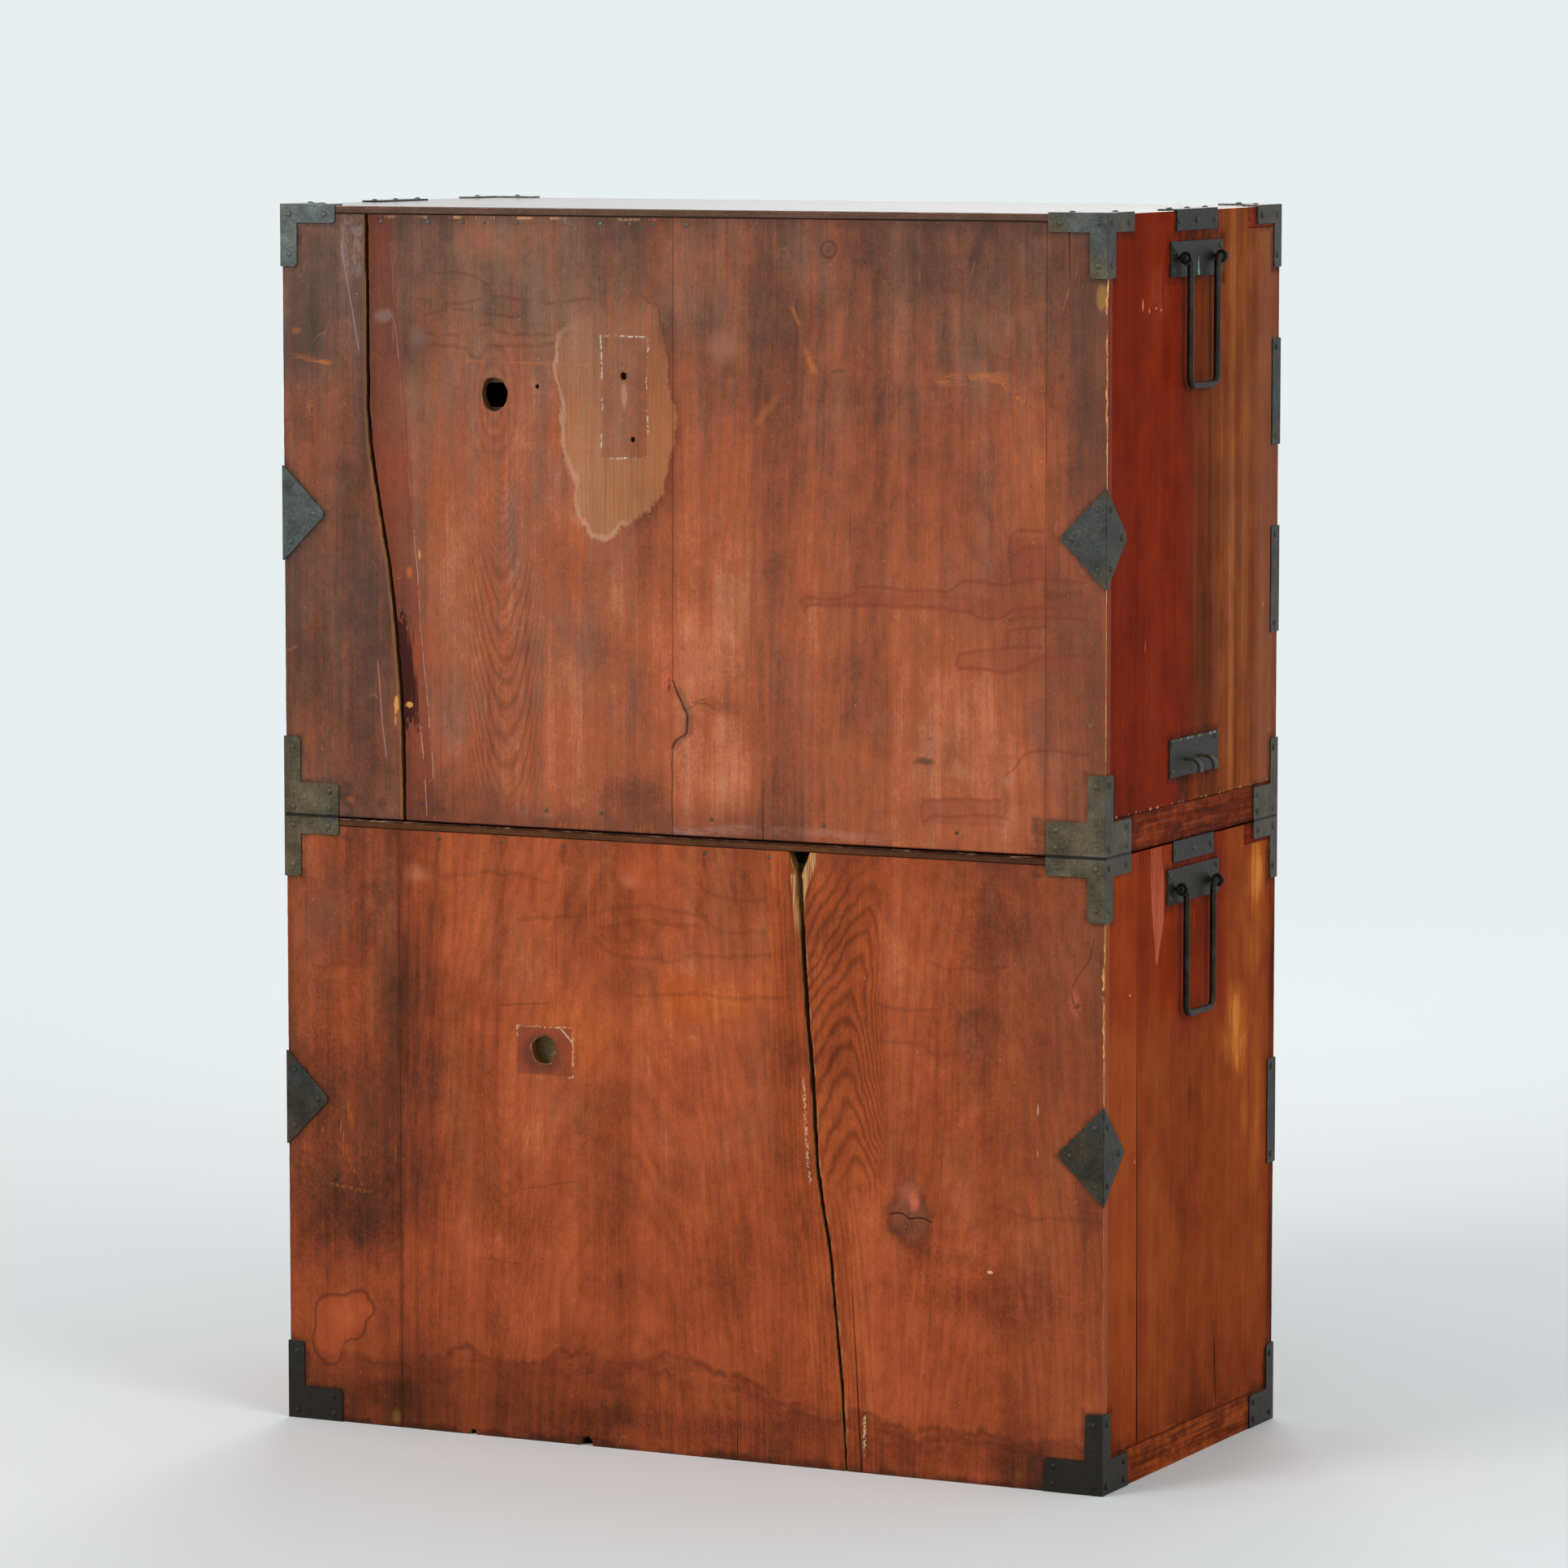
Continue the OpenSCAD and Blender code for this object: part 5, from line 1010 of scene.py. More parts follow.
    s.paint(dirt * 0.62, 38, 22, 14)
    # Painted shadow along the foot of the upper case, in the gap where the cases meet
    s.darken(s.rise(Z, 609.8, 607.6) * upper, 0.75)
    into = s.rise(HALF_W - abs(s.X), 0.7, 1.6)
    s.paint(into, s.mix(s.rise(HALF_W - abs(s.X), 3, 8), rgb(120, 60, 34), rgb(126, 92, 58)))
    height = s.lengthwise(1.2, 140, 56, 3) * 0.10 + s.lengthwise(7, 260, 57, 2) * 0.12 + (s.grit - 0.5) * 0.05
    rough = 0.34 + (s.grit - 0.5) * 0.2 + brown * 0.08
    return s.finish(rough, height, Specular_IOR_Level=0.005)


def cross_material(name, light, gloss, spec):
    """Lacquered boards that lie across the case: tops, bottoms, rails and drawer fronts."""
    s = Wood(name, across="Z", along="X", depth="Y")
    q = s.join(s.C + s.Y, s.D * 0.3, s.A)
    s.Q = q
    tone = 0.46 + light + grain_tone(s, 71, 1.0, 0.9)
    ring = s.figure(0, 0.16, 9, 7) * s.rise(s.Y, -190, -205) * 0.5
    browns = s.rise(s.lengthwise(40, 300, 75, 3) + 0.42, 0.3, 0.8)
    s.colour = s.mix(browns, s.ramp(tone, REDS_SIDE), s.ramp(tone, BROWNS_SIDE))
    s.darken(ring, 0.16)
    pores = s.rise(s.noise(q, (0.8, 0.8, 30), (4, 6, 1), 2, 0.6), 0.62, 0.72)
    s.darken(pores, 0.25)
    rub = s.patches(0.64, 0.80, (26, 26, 26), (1, 2, 3), 4, 0.65)
    s.paint(rub * 0.30, 186, 106, 60)

    # The back edges of the top boards are stained and dusty like the back
    behind = s.rise(s.Y, 209.6, 211.2) * s.rise(s.Z, 596, 598.5)
    upper = s.rise(s.Z, 1000, 1001)
    dusty = s.mix(upper, s.ramp(tone - 0.14, GREYS_LOWER), s.ramp(tone - 0.06, GREYS_UPPER))
    chips = s.rise(s.Z, 603.6, 605.2) * (1.0 - upper) + s.rise(s.Z, 1208.6, 1209.6)
    chips = chips * s.patches(0.52, 0.62, (22, 9, 4), (8, 1, 6), 4, 0.7)
    dusty = s.mix(chips * 0.6, dusty, rgb(196, 150, 122))
    s.paint(behind, dusty)
    # Painted shade: nearly black on the faces just inside the lower back boards
    s.paint(s.between(s.Y, 196, 207, 1) * s.rise(s.Z, 599, 598), 14, 9, 7)
    joint = s.near(s.Z, 1202.6, 0.5, 0.7).most(s.near(s.Z, 598.4, 0.3, 0.6)) * s.rise(s.Y, 205, 209)
    s.paint(joint * 0.85, 24, 16, 12)
    grime = (s.patches(0.46, 0.66, (30, 30, 12), (9, 2, 3), 4, 0.6) * s.between(s.Z, 607, 646, 4)
        .most(s.rise(s.Z, 40, 34)))
    s.darken(grime, 0.35)
    face = s.rise(s.Z, 1209.2, 1209.8)
    worn_top = s.ramp(0.5 + (tone - 0.5) * 1.1, [(0.0, 64, 44, 36), (0.4, 104, 74, 60), (0.7, 134, 100, 82),
        (1.0, 166, 134, 114)])
    s.paint(face * 0.8, worn_top)
    ends = s.rise(abs(s.X), 440.5, 441.8)
    tone = 0.44 + light + (s.noise(("Z", "X", "Y"), (5, 60, 150), (3, 7, 1), 3)
        - 0.5) * 0.8 + (s.noise(("Z", "X", "Y"), (1.6, 60, 60), (5, 2, 1), 2) - 0.5) * 0.5
    tone = tone + (s.noise(s.P, (16, 16, 12), (5, 4, 8), 4, 0.65) - 0.5) * 0.9 - s.between(s.Z,
        606, 644, 3) * 0.06
    ramp = s.mix(s.between(s.Z, 606, 644, 3) * 0.5, s.ramp(tone, REDS_SIDE), s.ramp(tone, BROWNS_SIDE))
    s.paint(ends, s.dimmed(s.mix(s.rise(s.Z, 600, 590) * s.rise(s.Z, 600, 10), ramp,
        s.ramp(tone, ORANGES_SIDE)), s.rise(s.Z, 1188, 1190) * s.rise(s.Y, 10, 40), 0.5))
    s.paint(halos(s, abs(s.Y), [((150, -9), (224, 35)), ((150, 590), (224, 642)), ((150, 1190), (224, 1216))],
        8) * ends * 0.6, 36, 22, 14)
    # Painted shadow in the gap where the cases meet, broken in patches
    s.darken(s.near(s.Z, 607.0, 2.4, 1.4) * s.patches(0.30, 0.46, (20, 20, 4), (1, 1, 9), 3), 0.6)
    height = s.lengthwise(1.2, 140, 76, 3) * 0.08 + s.lengthwise(7, 260, 77, 2) * 0.08
    rough = 0.40 + (s.grit - 0.5) * 0.2
    return s.finish(rough, height, Specular_IOR_Level=spec, Coat_Weight=face * gloss, Coat_Roughness=0.14)


def bare_material():
    """Bare pale wood inside the cases: drawer boxes and runners."""
    s = Wood("bare_wood", across="Z", along="Y", depth="X")
    s.Q = s.join(s.C + s.D * 0.7, s.D, s.A)
    tone = 0.5 + grain_tone(s, 81, 0.9, 0.7)
    s.colour = s.ramp(tone, [(0.0, 120, 88, 56), (0.4, 180, 146, 100), (0.7, 208, 178, 130),
        (1.0, 230, 206, 164)])
    ring = s.figure(20, 0.12, 7, 4)
    s.darken(ring, 0.12)
    grime = s.patches(0.5, 0.75, (60, 60, 60), (1, 2, 3), 4, 0.6)
    s.paint(grime * 0.3, 112, 84, 60)
    height = s.lengthwise(1.2, 120, 84, 3) * 0.10
    return s.finish(0.72, height, Specular_IOR_Level=0.25)


IRON_TONE = [(0, -0.12), (70, -0.06), (110, 0.30), (270, 0.30), (324, 0.22), (380, 0.30), (500, 0.44),
    (560, 0.48), (640, 0.52), (700, 0.52), (860, 0.50), (960, 0.50), (1150, 0.66), (1212, 0.72)]
IRON_WARMTH = [(0, 0.85), (110, 0.7), (324, 0.62), (500, 0.62), (570, 0.82), (690, 0.85), (760, 0.4),
    (907, 0.18), (1212, 0.10)]


def iron_material(name, shift, shine, plates=False, varied=1.0):
    """Old sheet or wrought iron: forged dents, patina, rust in the low places and rubbed high ones."""
    s = Shade(name)
    cloud = s.noise(s.P, (22, 22, 22), (1, 7, 3), 4, 0.62) - 0.5
    fine = s.noise(s.P, (2.6, 2.6, 2.6), (8, 2, 6), 4, 0.68) - 0.5
    tone = s.curve(s.Z, IRON_TONE) * varied + (1 - varied) * 0.45 + shift + cloud * 0.95 + fine * 0.8
    tone = tone - s.rise(s.X, 0, -300) * s.rise(s.Z, 800, 1100) * 0.20 * varied
    warmth = s.curve(s.Z, IRON_WARMTH) + (s.noise(s.P, (40, 40, 40), (4, 1, 9), 3, 0.6) - 0.5) * 1.6
    warmth = warmth + s.rise(s.X, 0, -300) * s.rise(s.Z, 700, 900) * 0.4
    tone = tone - s.rise(s.X, -442.8, -443.6) * 0.14 - s.rise(s.X, 0, -300) * s.between(s.Z,
        840, 970, 20) * 0.08
    if plates:
        tone = tone - 0.74
    warmth = s.rise(warmth, 0.2, 0.8)
    cold = s.ramp(tone, [(0.0, 26, 28, 28), (0.4, 58, 62, 61), (0.7, 84, 90, 88), (1.0, 122, 128, 126)])
    olive = s.ramp(tone, [(0.0, 32, 27, 20), (0.4, 66, 58, 43), (0.7, 98, 86, 62), (1.0, 136, 122, 94)])
    s.colour = s.mix(warmth, cold, olive)
    rust = s.patches(0.60, 0.72, (9, 9, 9), (3, 3, 8), 5, 0.70)
    s.paint(rust * 0.5, 72, 46, 28)
    pitting = s.patches(0.66, 0.76, (1.8, 1.8, 1.8), (5, 1, 2), 2)
    s.darken(pitting, 0.35)
    scuff = s.patches(0.68, 0.78, (4, 4, 4), (6, 8, 1), 5, 0.72)
    s.paint(scuff * 0.45, 150, 146, 130)
    if plates:
        green = s.Z * 0.0
        for y, z, ry, rz in ((-3, 1157, 1.6, 9), (-4, 1151, 3.0, 3.4)):
            dy, dz = (s.Y - y) * (1 / ry), (s.Z - z) * (1 / rz)
            green = green.most(s.rise((dy * dy + dz * dz) ** 0.5 + fine * 1.6, 1.1, 0.7))
        s.paint(green * s.rise(s.X, 0, -1) * 0.85, 120, 168, 146)
        glint = s.near(s.Z, 704.5, 0.6, 1.2) * s.rise(s.noise1(s.Y, 9, 6.0, 2), 0.52, 0.62)
        s.paint(glint * 0.6, 170, 170, 158)
    # Painted shadow on the irons in the gap where the cases meet
    s.darken(s.near(s.Z, 607.6, 1.1, 1.2), 0.85)
    height = (s.noise(s.P, (8, 8, 8), (5, 5, 5), 2) - 0.5) * 0.45 + fine * 0.14 - pitting * 0.06
    rough = 0.50 + fine * 0.4 + rust * 0.2
    return s.finish(rough, height, Metallic=shine, Specular_IOR_Level=0.35)


# ---------------------------------------------------------------- meshes


HOLE_SIDES, HEAD_SIDES = 40, 14
HEAD_WIDTH, HEAD_RISE = 6.4, 1.6  # of a common nail; others have the same shape
BOARD_SMOOTH, HEAD_SMOOTH = 35, 60  # degrees between faces up to which they are shaded as one


def linked(name, bm):
    """A new object in the scene with the mesh of bm, which is freed."""
    mesh = bpy.data.meshes.new(name)
    bm.to_mesh(mesh)
    bm.free()
    obj = bpy.data.objects.new(name, mesh)
    bpy.context.scene.collection.objects.link(obj)
    return obj


def outwards(bm):
    bmesh.ops.recalc_face_normals(bm, faces=bm.faces)


def new_mesh(name, bm, material, smooth_angle):
    for f in bm.faces:
        f.smooth = True
    outwards(bm)
    obj = linked(name, bm)
    obj.data.materials.append(material)
    obj.data.set_sharp_from_angle(angle=math.radians(smooth_angle))
    return obj


def sleeve(bm, rings):
    """Faces from each ring of vertices to the next."""
    n = len(rings[0])
    for a, b in zip(rings, rings[1:]):
        for k in range(n):
            bm.faces.new((a[k], a[(k + 1) % n], b[(k + 1) % n], b[k]))


def solid(bm, rings):
    """A sleeve that is closed by the first ring and the last."""
    sleeve(bm, rings)
    bm.faces.new(rings[0])
    bm.faces.new(list(reversed(rings[-1])))


def at_height(points):
    """x at any height on a line through (height, x)."""

    def x(z):
        for (za, xa), (zb, xb) in zip(points, points[1:]):
            if z <= zb:
                return xa + (xb - xa) * max(0.0, (z - za) / (zb - za))
        return points[-1][1]

    return x


def rough_line(v, seed, size):
    """Ragged noise about 0, of that size, along a length in millimetres."""
    total = 0.0
    for scale, part in ((14, 0.5), (4.5, 0.3), (1.7, 0.2)):
        total += part * noise.noise(Vector((v / scale, seed * 3.17, scale)))
    return total * size * 1.6


def bump_of(z, places):
    """How deep the edge is chipped at that height, from (low, high, depth)."""
    deep = 0.0
    for a, b, d in places:
        if a < z < b:
            t = math.sin(math.pi * (z - a) / (b - a)) ** 0.5
            deep = max(deep, d * t * (0.65 + 0.7 * noise.noise(Vector((z / 7.0, a, 3.3)))))
    return deep


class Edge:
    """One upright edge of a back board: its line, how ragged it is and where it is chipped."""

    def __init__(self, line, ragged=0.0, round_mm=0.5, chips=(), seed=0, slant=0.0):
        self.x, self.seed, self.slant = at_height(line), seed, slant
        self.ragged, self.round_mm, self.chips = ragged, round_mm, chips

    def outer(self, z):
        return self.x(z) + rough_line(z, self.seed, self.ragged)

    def inner(self, z):
        return self.x(z) + rough_line(z, self.seed + 5, self.ragged) + self.slant

    def rounding(self, z):
        return max(0.15, self.round_mm + rough_line(z, self.seed + 9, self.round_mm * 0.7)
            + bump_of(z, self.chips))


def straight(x, z0, z1):
    return [(z0, x), (z1, x)]


def add_board(bm, left, right, z0, z1, set_back, seed, cup=0.35):
    """A board of the back from left (the larger x) to right, with worn edges and a slightly uneven face."""
    steps = max(2, int((z1 - z0) / 3.0))
    heights = [z0, z0 + 0.5] + [z0 + (z1 - z0) * k / steps for k in range(1, steps)] + [z1 - 0.5, z1]
    cols = max(4, int((left.x((z0 + z1) / 2) - right.x((z0 + z1) / 2)) / 9))
    rows = []
    for z in heights:
        end = 0.45 if z in (z0, z1) else 0.0
        xl, xr = left.outer(z), right.outer(z)
        rl, rr = left.rounding(z), right.rounding(z)
        ring = []

        def face_y(x, t):
            wave = noise.noise(Vector((x / 70, z / 190, seed))) * 0.18
            wave += noise.noise(Vector((x / 16, z / 60, seed + 3))) * 0.05
            return HALF_D - set_back - end - 0.12 - cup * (2 * t - 1) ** 2 * 0.5 - abs(wave)

        for k in range(cols + 1):
            t = k / cols
            x = (xl - rl) + (xr + rr - xl + rl) * t
            ring.append((x, face_y(x, t)))
        yr = face_y(xr, 1)
        for k in (1, 2, 3):
            a = math.radians(30 * k)
            ring.append((xr + rr - rr * math.sin(a), yr - rr * (1 - math.cos(a))))
        ring.append((right.inner(z), BACK_IN))
        ring.append((left.inner(z), BACK_IN))
        yl = face_y(xl, 0)
        for k in (3, 2, 1):
            a = math.radians(30 * k)
            ring.append((xl - rl + rl * math.sin(a), yl - rl * (1 - math.cos(a))))
        rows.append([bm.verts.new((x * MM, y * MM, z * MM)) for x, y in ring])
    solid(bm, rows)


def cutter(x, z, rx, rz, depth, seed, chamfer=1.2, ragged=0.06):
    """An irregular plug that bores a hole into the back face."""
    bm = bmesh.new()
    rings = []
    for deep, grow in ((-2.0, chamfer + 1.2), (0.2, chamfer), (chamfer * 0.9 + 0.4, 0.15), (depth, 0.0)):
        ring = []
        for k in range(HOLE_SIDES):
            a = 2 * math.pi * k / HOLE_SIDES
            cos, sin = math.cos(a), math.sin(a)
            w = 1 + ragged * noise.noise(Vector((cos * 1.7, sin * 1.7, seed + deep * 0.12))) * 2
            g = grow * (1 + 0.9 * noise.noise(Vector((cos * 3, sin * 3, seed + 7))))
            px, pz = x + (rx * w + g) * cos, z + (rz * w + g) * sin
            ring.append(bm.verts.new((px * MM, (HALF_D - deep) * MM, pz * MM)))
        rings.append(ring)
    solid(bm, rings)
    outwards(bm)
    return linked("cutter", bm)


def wedge(points, y0, y1):
    """A prism on the XZ plane, for splits and broken corners."""
    bm = bmesh.new()
    solid(bm, [[bm.verts.new((x * MM, y * MM, z * MM)) for x, z in points] for y in (y0, y1)])
    outwards(bm)
    return linked("cutter", bm)


def cut(obj, tools):
    """Takes the tools out of the object for good, and removes them."""
    for tool in tools:
        m = obj.modifiers.new("cut", "BOOLEAN")
        m.operation, m.solver, m.object = "DIFFERENCE", "EXACT", tool
    dg = bpy.context.evaluated_depsgraph_get()
    mesh = bpy.data.meshes.new_from_object(obj.evaluated_get(dg))
    obj.modifiers.clear()
    old, obj.data = obj.data, mesh
    bpy.data.meshes.remove(old)
    for tool in tools:
        bpy.data.objects.remove(tool)
    mesh.set_sharp_from_angle(angle=math.radians(BOARD_SMOOTH))


def islands(obj):
    """Low and high corner of each loose part of a node's mesh, in millimetres."""
    bm = bmesh.new()
    bm.from_mesh(obj.data)
    bmesh.ops.remove_doubles(bm, verts=bm.verts, dist=MERGE)
    seen, found = set(), []
    for start in bm.verts:
        if start in seen:
            continue
        stack, part = [start], []
        seen.add(start)
        while stack:
            v = stack.pop()
            part.append(v.co.copy())
            for e in v.link_edges:
                o = e.other_vert(v)
                if o not in seen:
                    seen.add(o)
                    stack.append(o)
        lo = Vector([min(p[i] for p in part) for i in range(3)]) / MM
        hi = Vector([max(p[i] for p in part) for i in range(3)]) / MM
        found.append((lo, hi))
    bm.free()
    return found


def nail_heads(name, source, material, body):
    """Hand-made domed heads at the places of a node's nails, no two quite alike."""
    rnd = random.Random(name)
    bm = bmesh.new()
    for lo, hi in islands(nodes[source]):
        size = hi - lo
        head = sorted(size)[1]
        axis = max(range(3), key=lambda i: abs(size[i] - head) if abs(size[i] - head) > 0.5 else -1)
        mid = (lo + hi) / 2
        sign = 1 if axis == 2 or mid[axis] > 0 else -1
        out = Vector([0, 0, 0])
        out[axis] = sign
        high = HEAD_RISE * head / HEAD_WIDTH
        base = mid.copy()
        base[axis] = (hi[axis] if sign > 0 else lo[axis]) - sign * high
        u = Vector((0, 0, 1)) if axis != 2 else Vector((1, 0, 0))
        v = out.cross(u)
        tilt = Vector((rnd.uniform(-0.12, 0.12), rnd.uniform(-0.12, 0.12)))
        turn, squash = rnd.uniform(0, 6.28), rnd.uniform(0.93, 1.0)
        seed = rnd.uniform(0, 100)
        rings = []
        for part, up in ((0.98, -0.5), (1.0, 0.05), (0.93, 0.38), (0.74, 0.74), (0.45, 0.95)):
            ring = []
            for k in range(HEAD_SIDES):
                a = turn + 2 * math.pi * k / HEAD_SIDES
                w = 1 + 0.09 * noise.noise(Vector((math.cos(a) * 1.4, math.sin(a) * 1.4, seed)))
                r = head / 2 * part * w * 0.97
                x, y = r * math.cos(a), r * math.sin(a) * squash
                h = high * up * 0.95 + (tilt.x * x + tilt.y * y) * (up > 0.3)
                h = min(h, high) if up > 0 else h
                ring.append(bm.verts.new((base + u * x + v * y + out * h) * MM))
            rings.append(ring)
        top = bm.verts.new((base + out * high) * MM)
        sleeve(bm, rings)
        for k in range(HEAD_SIDES):
            bm.faces.new((rings[-1][k], rings[-1][(k + 1) % HEAD_SIDES], top))
        bm.faces.new(list(reversed(rings[0])))
    obj = new_mesh(name, bm, material, HEAD_SMOOTH)
    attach(obj, body)
    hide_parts(source)


# ---------------------------------------------------------------- materials on their pieces

upper_back = upper_back_material()
lower_back = lower_back_material()
side = side_material()
top_lacquer = cross_material("top_lacquer", 0.02, 0.8, 0.02)
plain_lacquer = cross_material("cross_lacquer", -0.04, 0.0, 0.008)
bare = bare_material()
iron_sheet = iron_material("sheet_iron", 0.0, 0.5)
iron_plate = iron_material("plate_iron", 0.0, 0.5, plates=True)
iron_rod = iron_material("rod_iron", -0.22, 0.7, varied=0.0)
iron_nail = iron_material("nail_iron", 0.08, 0.6, varied=0.8)


def carry(name, material, bevel):
    """Gives a CAD node its material, and worn edges by a modifier; its mesh stays as it is."""
    obj = nodes[name]
    if obj.data.attributes.get("custom_normal"):
        obj.data.attributes.remove(obj.data.attributes["custom_normal"])
    obj.data.materials.clear()
    obj.data.materials.append(material)
    weld = obj.modifiers.new("weld", "WELD")
    weld.merge_threshold = MERGE
    if bevel:
        m = obj.modifiers.new("worn_edges", "BEVEL")
        m.width = bevel * MM
        m.segments = 2
        m.limit_method = "ANGLE"
        m.angle_limit = math.radians(40)
        m.harden_normals = False
        m.use_clamp_overlap = True


# The ends of names, their material and how wide their edges are worn; the first that fits counts
WORN = (
    (("_side_left", "_side_right"), side, 0.8),
    (("upper_top",), top_lacquer, 0.9),
    (("_top", "_bottom", "_rail", "_rails", "_front"), plain_lacquer, 0.8),
    (("_box", "_runners"), bare, 0.5),
    (("_side_plates",), iron_plate, 0.45),
    (("_irons",), iron_sheet, 0.45),
    (("_hooks", "_bolt"), iron_sheet, 0.4),
    (("",), iron_rod, 0.0),
)
for n in nodes:
    if not n.endswith(("_back_boards", "_nails")):
        carry(n, *next((material, bevel) for ends, material, bevel in WORN if n.endswith(ends)))

# ---------------------------------------------------------------- the boarded backs


def upper_line(points, shift):
    """The line through (height, x), moved sideways by half a gap."""
    return [(z, x + shift) for z, x in points]


# (height, x) of the open crack and of the wandering seam in the upper back
CRACK_U = [(607.5, 309), (679.5, 309), (735.5, 312), (807.5, 318), (863.5, 325), (918.5, 335), (966.5, 343),
           (1013.5, 347), (1202, 348)]
SEAM_U = [(607.5, 13), (693.5, 13), (699.5, 9), (706.5, -3), (725.5, -3), (744.5, 6), (757.5, 12), (1202, 11)]
bm = bmesh.new()
z0, z1 = UPPER_Z, UPPER_TOP
add_board(bm, Edge(straight(HALF_W, z0, z1), 0.2, 0.5, seed=1),
          Edge(upper_line(CRACK_U, 2.3), 0.9, 0.7, [(607, 720, 1.4), (810, 828, 1.6)], seed=2, slant=-0.8),
          z0, z1, 0.0, 1)
add_board(bm, Edge(upper_line(CRACK_U, -2.3), 0.8, 0.4, [(690, 710, 1.6)], seed=3, slant=-0.8),
          Edge(upper_line(SEAM_U, 0.2), 0.12, 0.35, [(735, 765, 0.9)], seed=4), z0, z1, 0.15, 2)
add_board(bm, Edge(upper_line(SEAM_U, -0.2), 0.12, 0.35, seed=5),
          Edge(straight(-380.85, z0, z1), 0.08, 0.3, seed=6), z0, z1, 0.0, 3)
scraped = [(690, 866, 1.0), (956, 1153, 3.2), (1102, 1148, 4.6), (1030, 1062, 4.0)]
add_board(bm, Edge(straight(-381.15, z0, z1), 0.08, 0.3, seed=7),
          Edge(straight(-HALF_W, z0, z1), 0.2, 0.4, scraped, seed=8), z0, z1, 0.1, 4)
upper_boards = new_mesh("upper_back_planks", bm, upper_back, BOARD_SMOOTH)
cut(upper_boards, [
    cutter(206.5, UPPER_Z + 421.5, 14.4, 16.2, 14, 1, 1.0, 0.05),
    cutter(159, UPPER_Z + 430, 2.0, 2.0, 6, 2, 0.5),
    cutter(65, UPPER_Z + 442, 3.4, 3.6, 8, 3, 0.9),
    cutter(55, UPPER_Z + 381, 2.4, 2.6, 8, 4, 0.8),
    wedge([(-85.5, 606), (-84.5, 606), (-85, 686)], 208, 213),
    wedge([(-403.5, 1203), (-402.5, 1203), (-405, 1107)], 208, 213),
])
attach(upper_boards, "upper_case")
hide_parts("upper_back_boards")


def lower_crack(sign, top_x):
    """One side of the open crack, which widens upwards to a notch; sign 1 is the side of the larger x."""
    return [(z, x + sign * (2.6 + 3.4 * z / 575) / 2) for z, x in CRACK_L] + [(LOWER_TOP, top_x)]


bm = bmesh.new()
z0, z1 = 0.0, LOWER_TOP
add_board(bm, Edge(straight(HALF_W, z0, z1), 0.2, 0.5, seed=11),
          Edge(straight(315.2, z0, z1), 0.12, 0.45, [(60, 240, 0.7), (400, 520, 0.6)], seed=12),
          z0, z1, 0.0, 11)
add_board(bm, Edge(straight(314.8, z0, z1), 0.12, 0.45, seed=13),
          Edge(lower_crack(1, -112), 1.0, 0.6, [(540, 598, 1.8)], seed=14, slant=-1.0), z0, z1, 0.12, 12)
split = [(0, 120, 1.0), (300, 420, 1.2), (520, 598, 2.2)]
scraped = [(368, 545, 3.4), (455, 508, 7.0), (430, 470, 5.0)]
add_board(bm, Edge(lower_crack(-1, -135), 1.1, 0.7, split, seed=15, slant=-1.0),
          Edge(straight(-HALF_W, z0, z1), 0.2, 0.4, scraped, seed=16), z0, z1, 0.0, 13)
lower_boards = new_mesh("lower_back_planks", bm, lower_back, BOARD_SMOOTH)
cut(lower_boards, [
    cutter(155, 389, 12.8, 13.8, 14, 11, 1.8, 0.09),
    wedge([(-57.5, -1), (-56.5, -1), (-57, 119)], 208, 213),
    wedge([(-191.8, -1), (-190.2, -1), (-181, 169)], 199, 213),
    wedge([(101, -1), (101.6, 4), (102.4, 6.4), (104, 7.4), (105.5, 9.0), (107.5, 9.5), (110.5, 8.2),
           (113, 8.3), (114.6, 4), (116, -1)], 199, 213),
    wedge([(230, -1), (231, 3), (232.4, 5.2), (236, 6), (238, 3), (239, -1)], 199, 213),
])
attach(lower_boards, "lower_case")
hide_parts("lower_back_boards")

nail_heads("upper_nail_heads", "upper_nails", iron_nail, "upper_case")
nail_heads("lower_nail_heads", "lower_nails", iron_nail, "lower_case")

# ---------------------------------------------------------------- floor, light and camera

BACKDROP = rgb(232, 239, 241)
SKY_LIGHT, SKY_SEEN = 0.62, 1.0  # strength of the backdrop as a light and as it is seen
FLOOR_SIZE = 90  # metres from the middle to a side
FLOOR_NEAR, FLOOR_FAR = 1.1, 4.6  # metres between which the floor passes into the backdrop


def seen_directly(s):
    """1 on rays from the camera, a mirror or glass, 0 on rays that carry light."""
    rays = s.node("LightPath").outputs
    return reduce(Value.most, (Value(s, rays["Is %s Ray" % k]) for k in ("Camera", "Glossy", "Transmission")))


def lit_background():
    world = bpy.data.worlds.new("studio")
    bpy.context.scene.world = world
    world.use_nodes = True
    world.node_tree.nodes.clear()
    s = Shade.within(world.node_tree)
    bright = s.node("Mix", {0: seen_directly(s), 2: SKY_LIGHT, 3: SKY_SEEN})
    back = s.node("Background", {"Color": BACKDROP, "Strength": Value(s, bright.outputs[0])})
    s.tree.links.new(back.outputs[0], s.node("OutputWorld").inputs["Surface"])


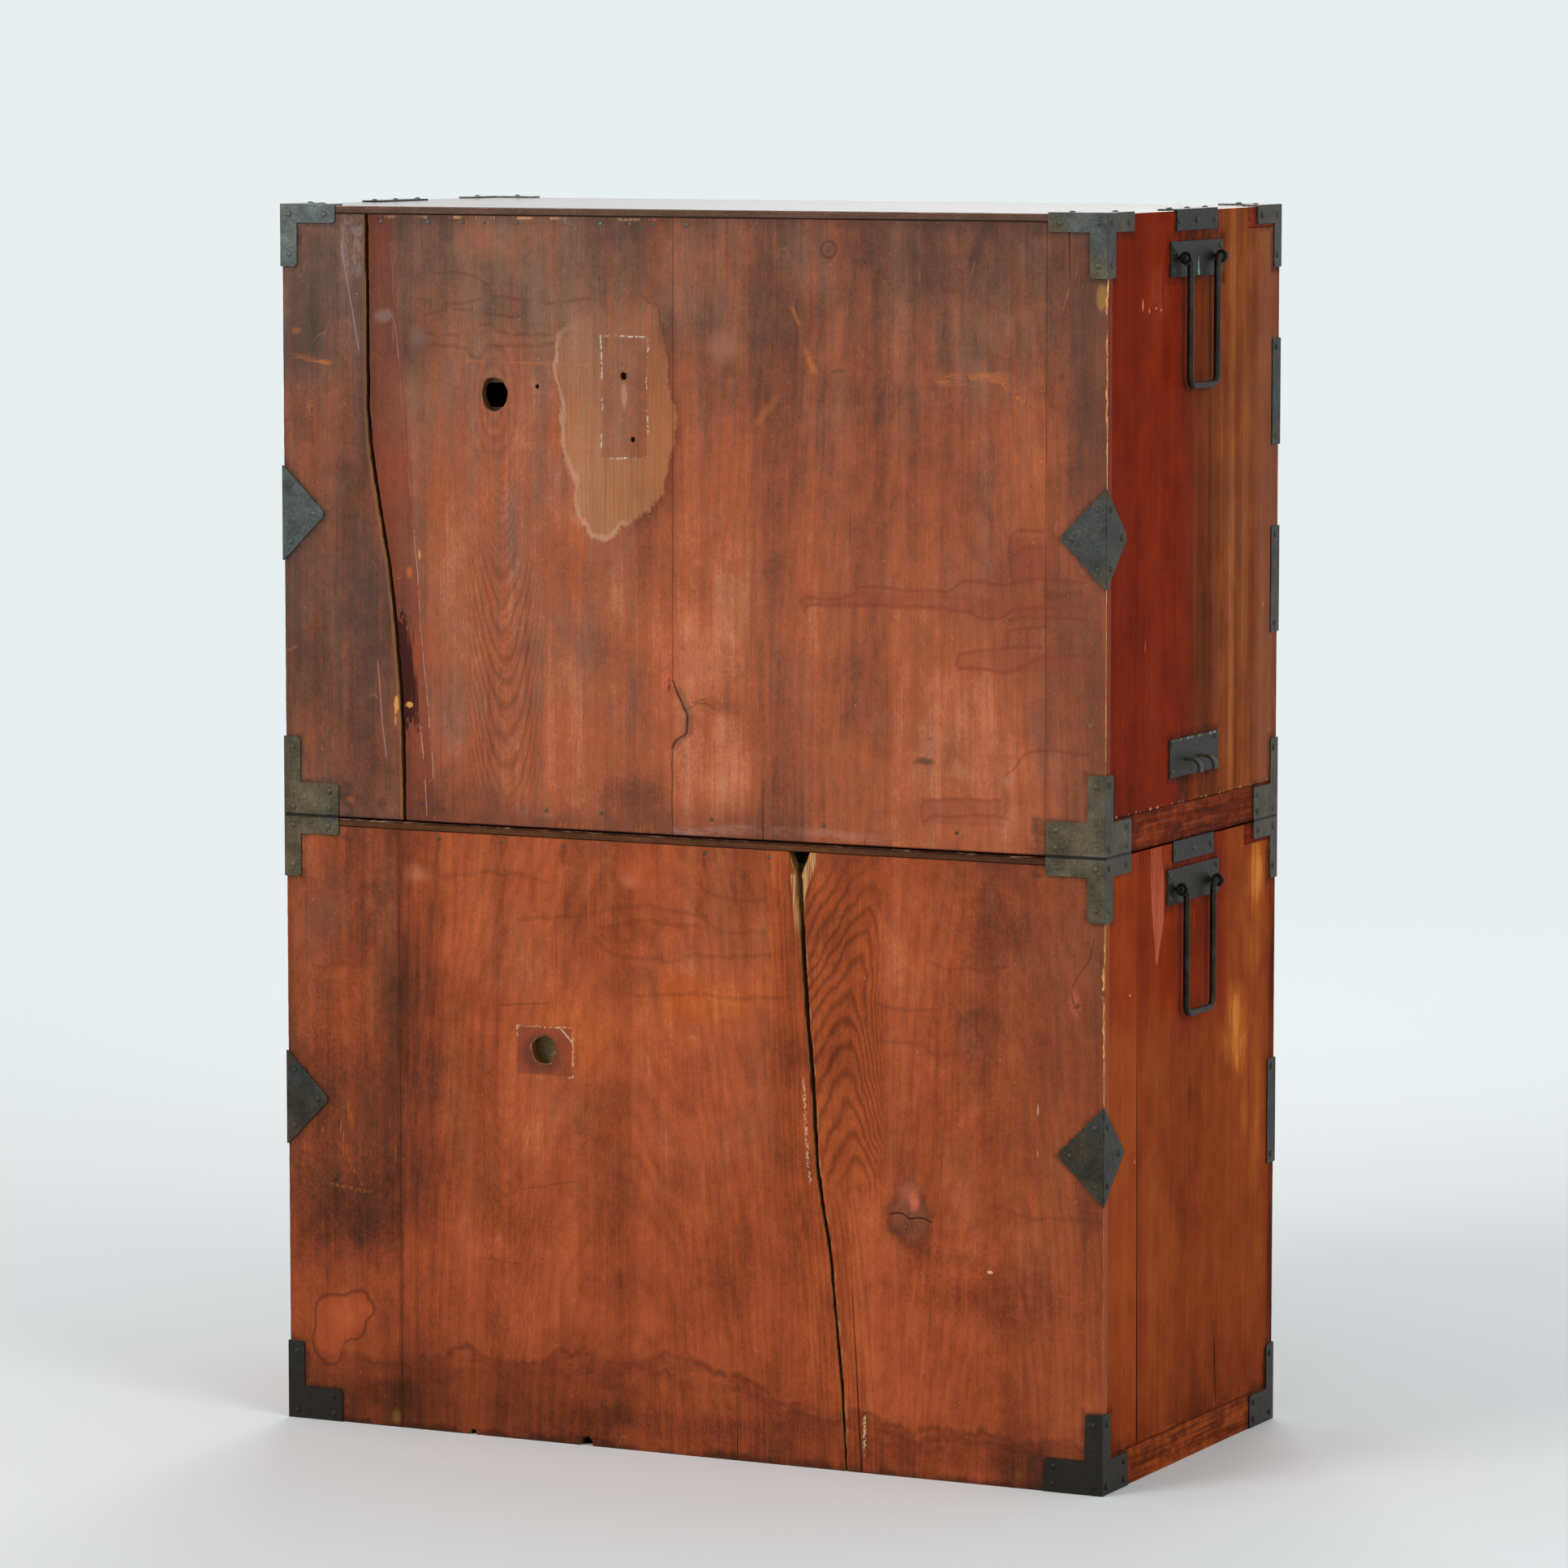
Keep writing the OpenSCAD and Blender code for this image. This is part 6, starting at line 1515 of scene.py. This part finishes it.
def pale_floor():
    bm = bmesh.new()
    bmesh.ops.create_grid(bm, x_segments=8, y_segments=8, size=FLOOR_SIZE)
    floor = linked("floor", bm)
    s = Shade("floor_paper")
    far = Value(s, s.node("VectorMath", {0: s.place}, operation="LENGTH").outputs["Value"])
    fade = s.rise(far, FLOOR_NEAR, FLOOR_FAR)
    seen = seen_directly(s)
    diffuse = s.node("BsdfDiffuse", {"Color": rgb(232, 233, 233)})
    glow = s.node("Emission", {"Color": BACKDROP, "Strength": 1.0})
    both = s.node("MixShader", {0: fade * seen})
    s.tree.links.new(diffuse.outputs[0], both.inputs[1])
    s.tree.links.new(glow.outputs[0], both.inputs[2])
    out = s.node("OutputMaterial")
    s.tree.links.new(both.outputs[0], out.inputs["Surface"])
    floor.data.materials.append(s.mat)


def area_light(name, place, aim, size, power, colour=(1, 1, 1)):
    """A round lamp at a place that shines on another, all in metres and watts."""
    data = bpy.data.lights.new(name, "AREA")
    data.shape, data.size, data.energy, data.color = "DISK", size, power, colour
    lamp = bpy.data.objects.new(name, data)
    lamp.location = place
    lamp.rotation_mode = "QUATERNION"
    lamp.rotation_quaternion = (Vector(aim) - Vector(place)).to_track_quat("-Z", "Y")
    bpy.context.scene.collection.objects.link(lamp)


lit_background()
pale_floor()
area_light("key", (2.6, 5.0, 3.4), (0, 0.1, 0.6), 3.2, 150, (1.0, 0.985, 0.96))
area_light("fill", (-5.0, 2.4, 2.8), (-0.2, 0, 0.6), 3.0, 105, (0.97, 0.985, 1.0))
area_light("far", (1.5, -4.5, 3.6), (0, 0, 0.6), 3.0, 110)

camera = bpy.data.objects.new("camera", bpy.data.cameras.new("camera"))
camera.data.sensor_width = 36.0
camera.data.lens = 159.9
camera.data.clip_start, camera.data.clip_end = 0.1, 200
# Fitted to ten corners of the chest in the photograph
camera.location = (-3.0294, 6.1660, 1.3610)
camera.rotation_mode = "QUATERNION"
camera.rotation_quaternion = Vector((0.4381, -0.8928, -0.1047)).to_track_quat("-Z", "Y")
bpy.context.scene.collection.objects.link(camera)
bpy.context.scene.camera = camera
bpy.context.scene.view_settings.view_transform = "Standard"
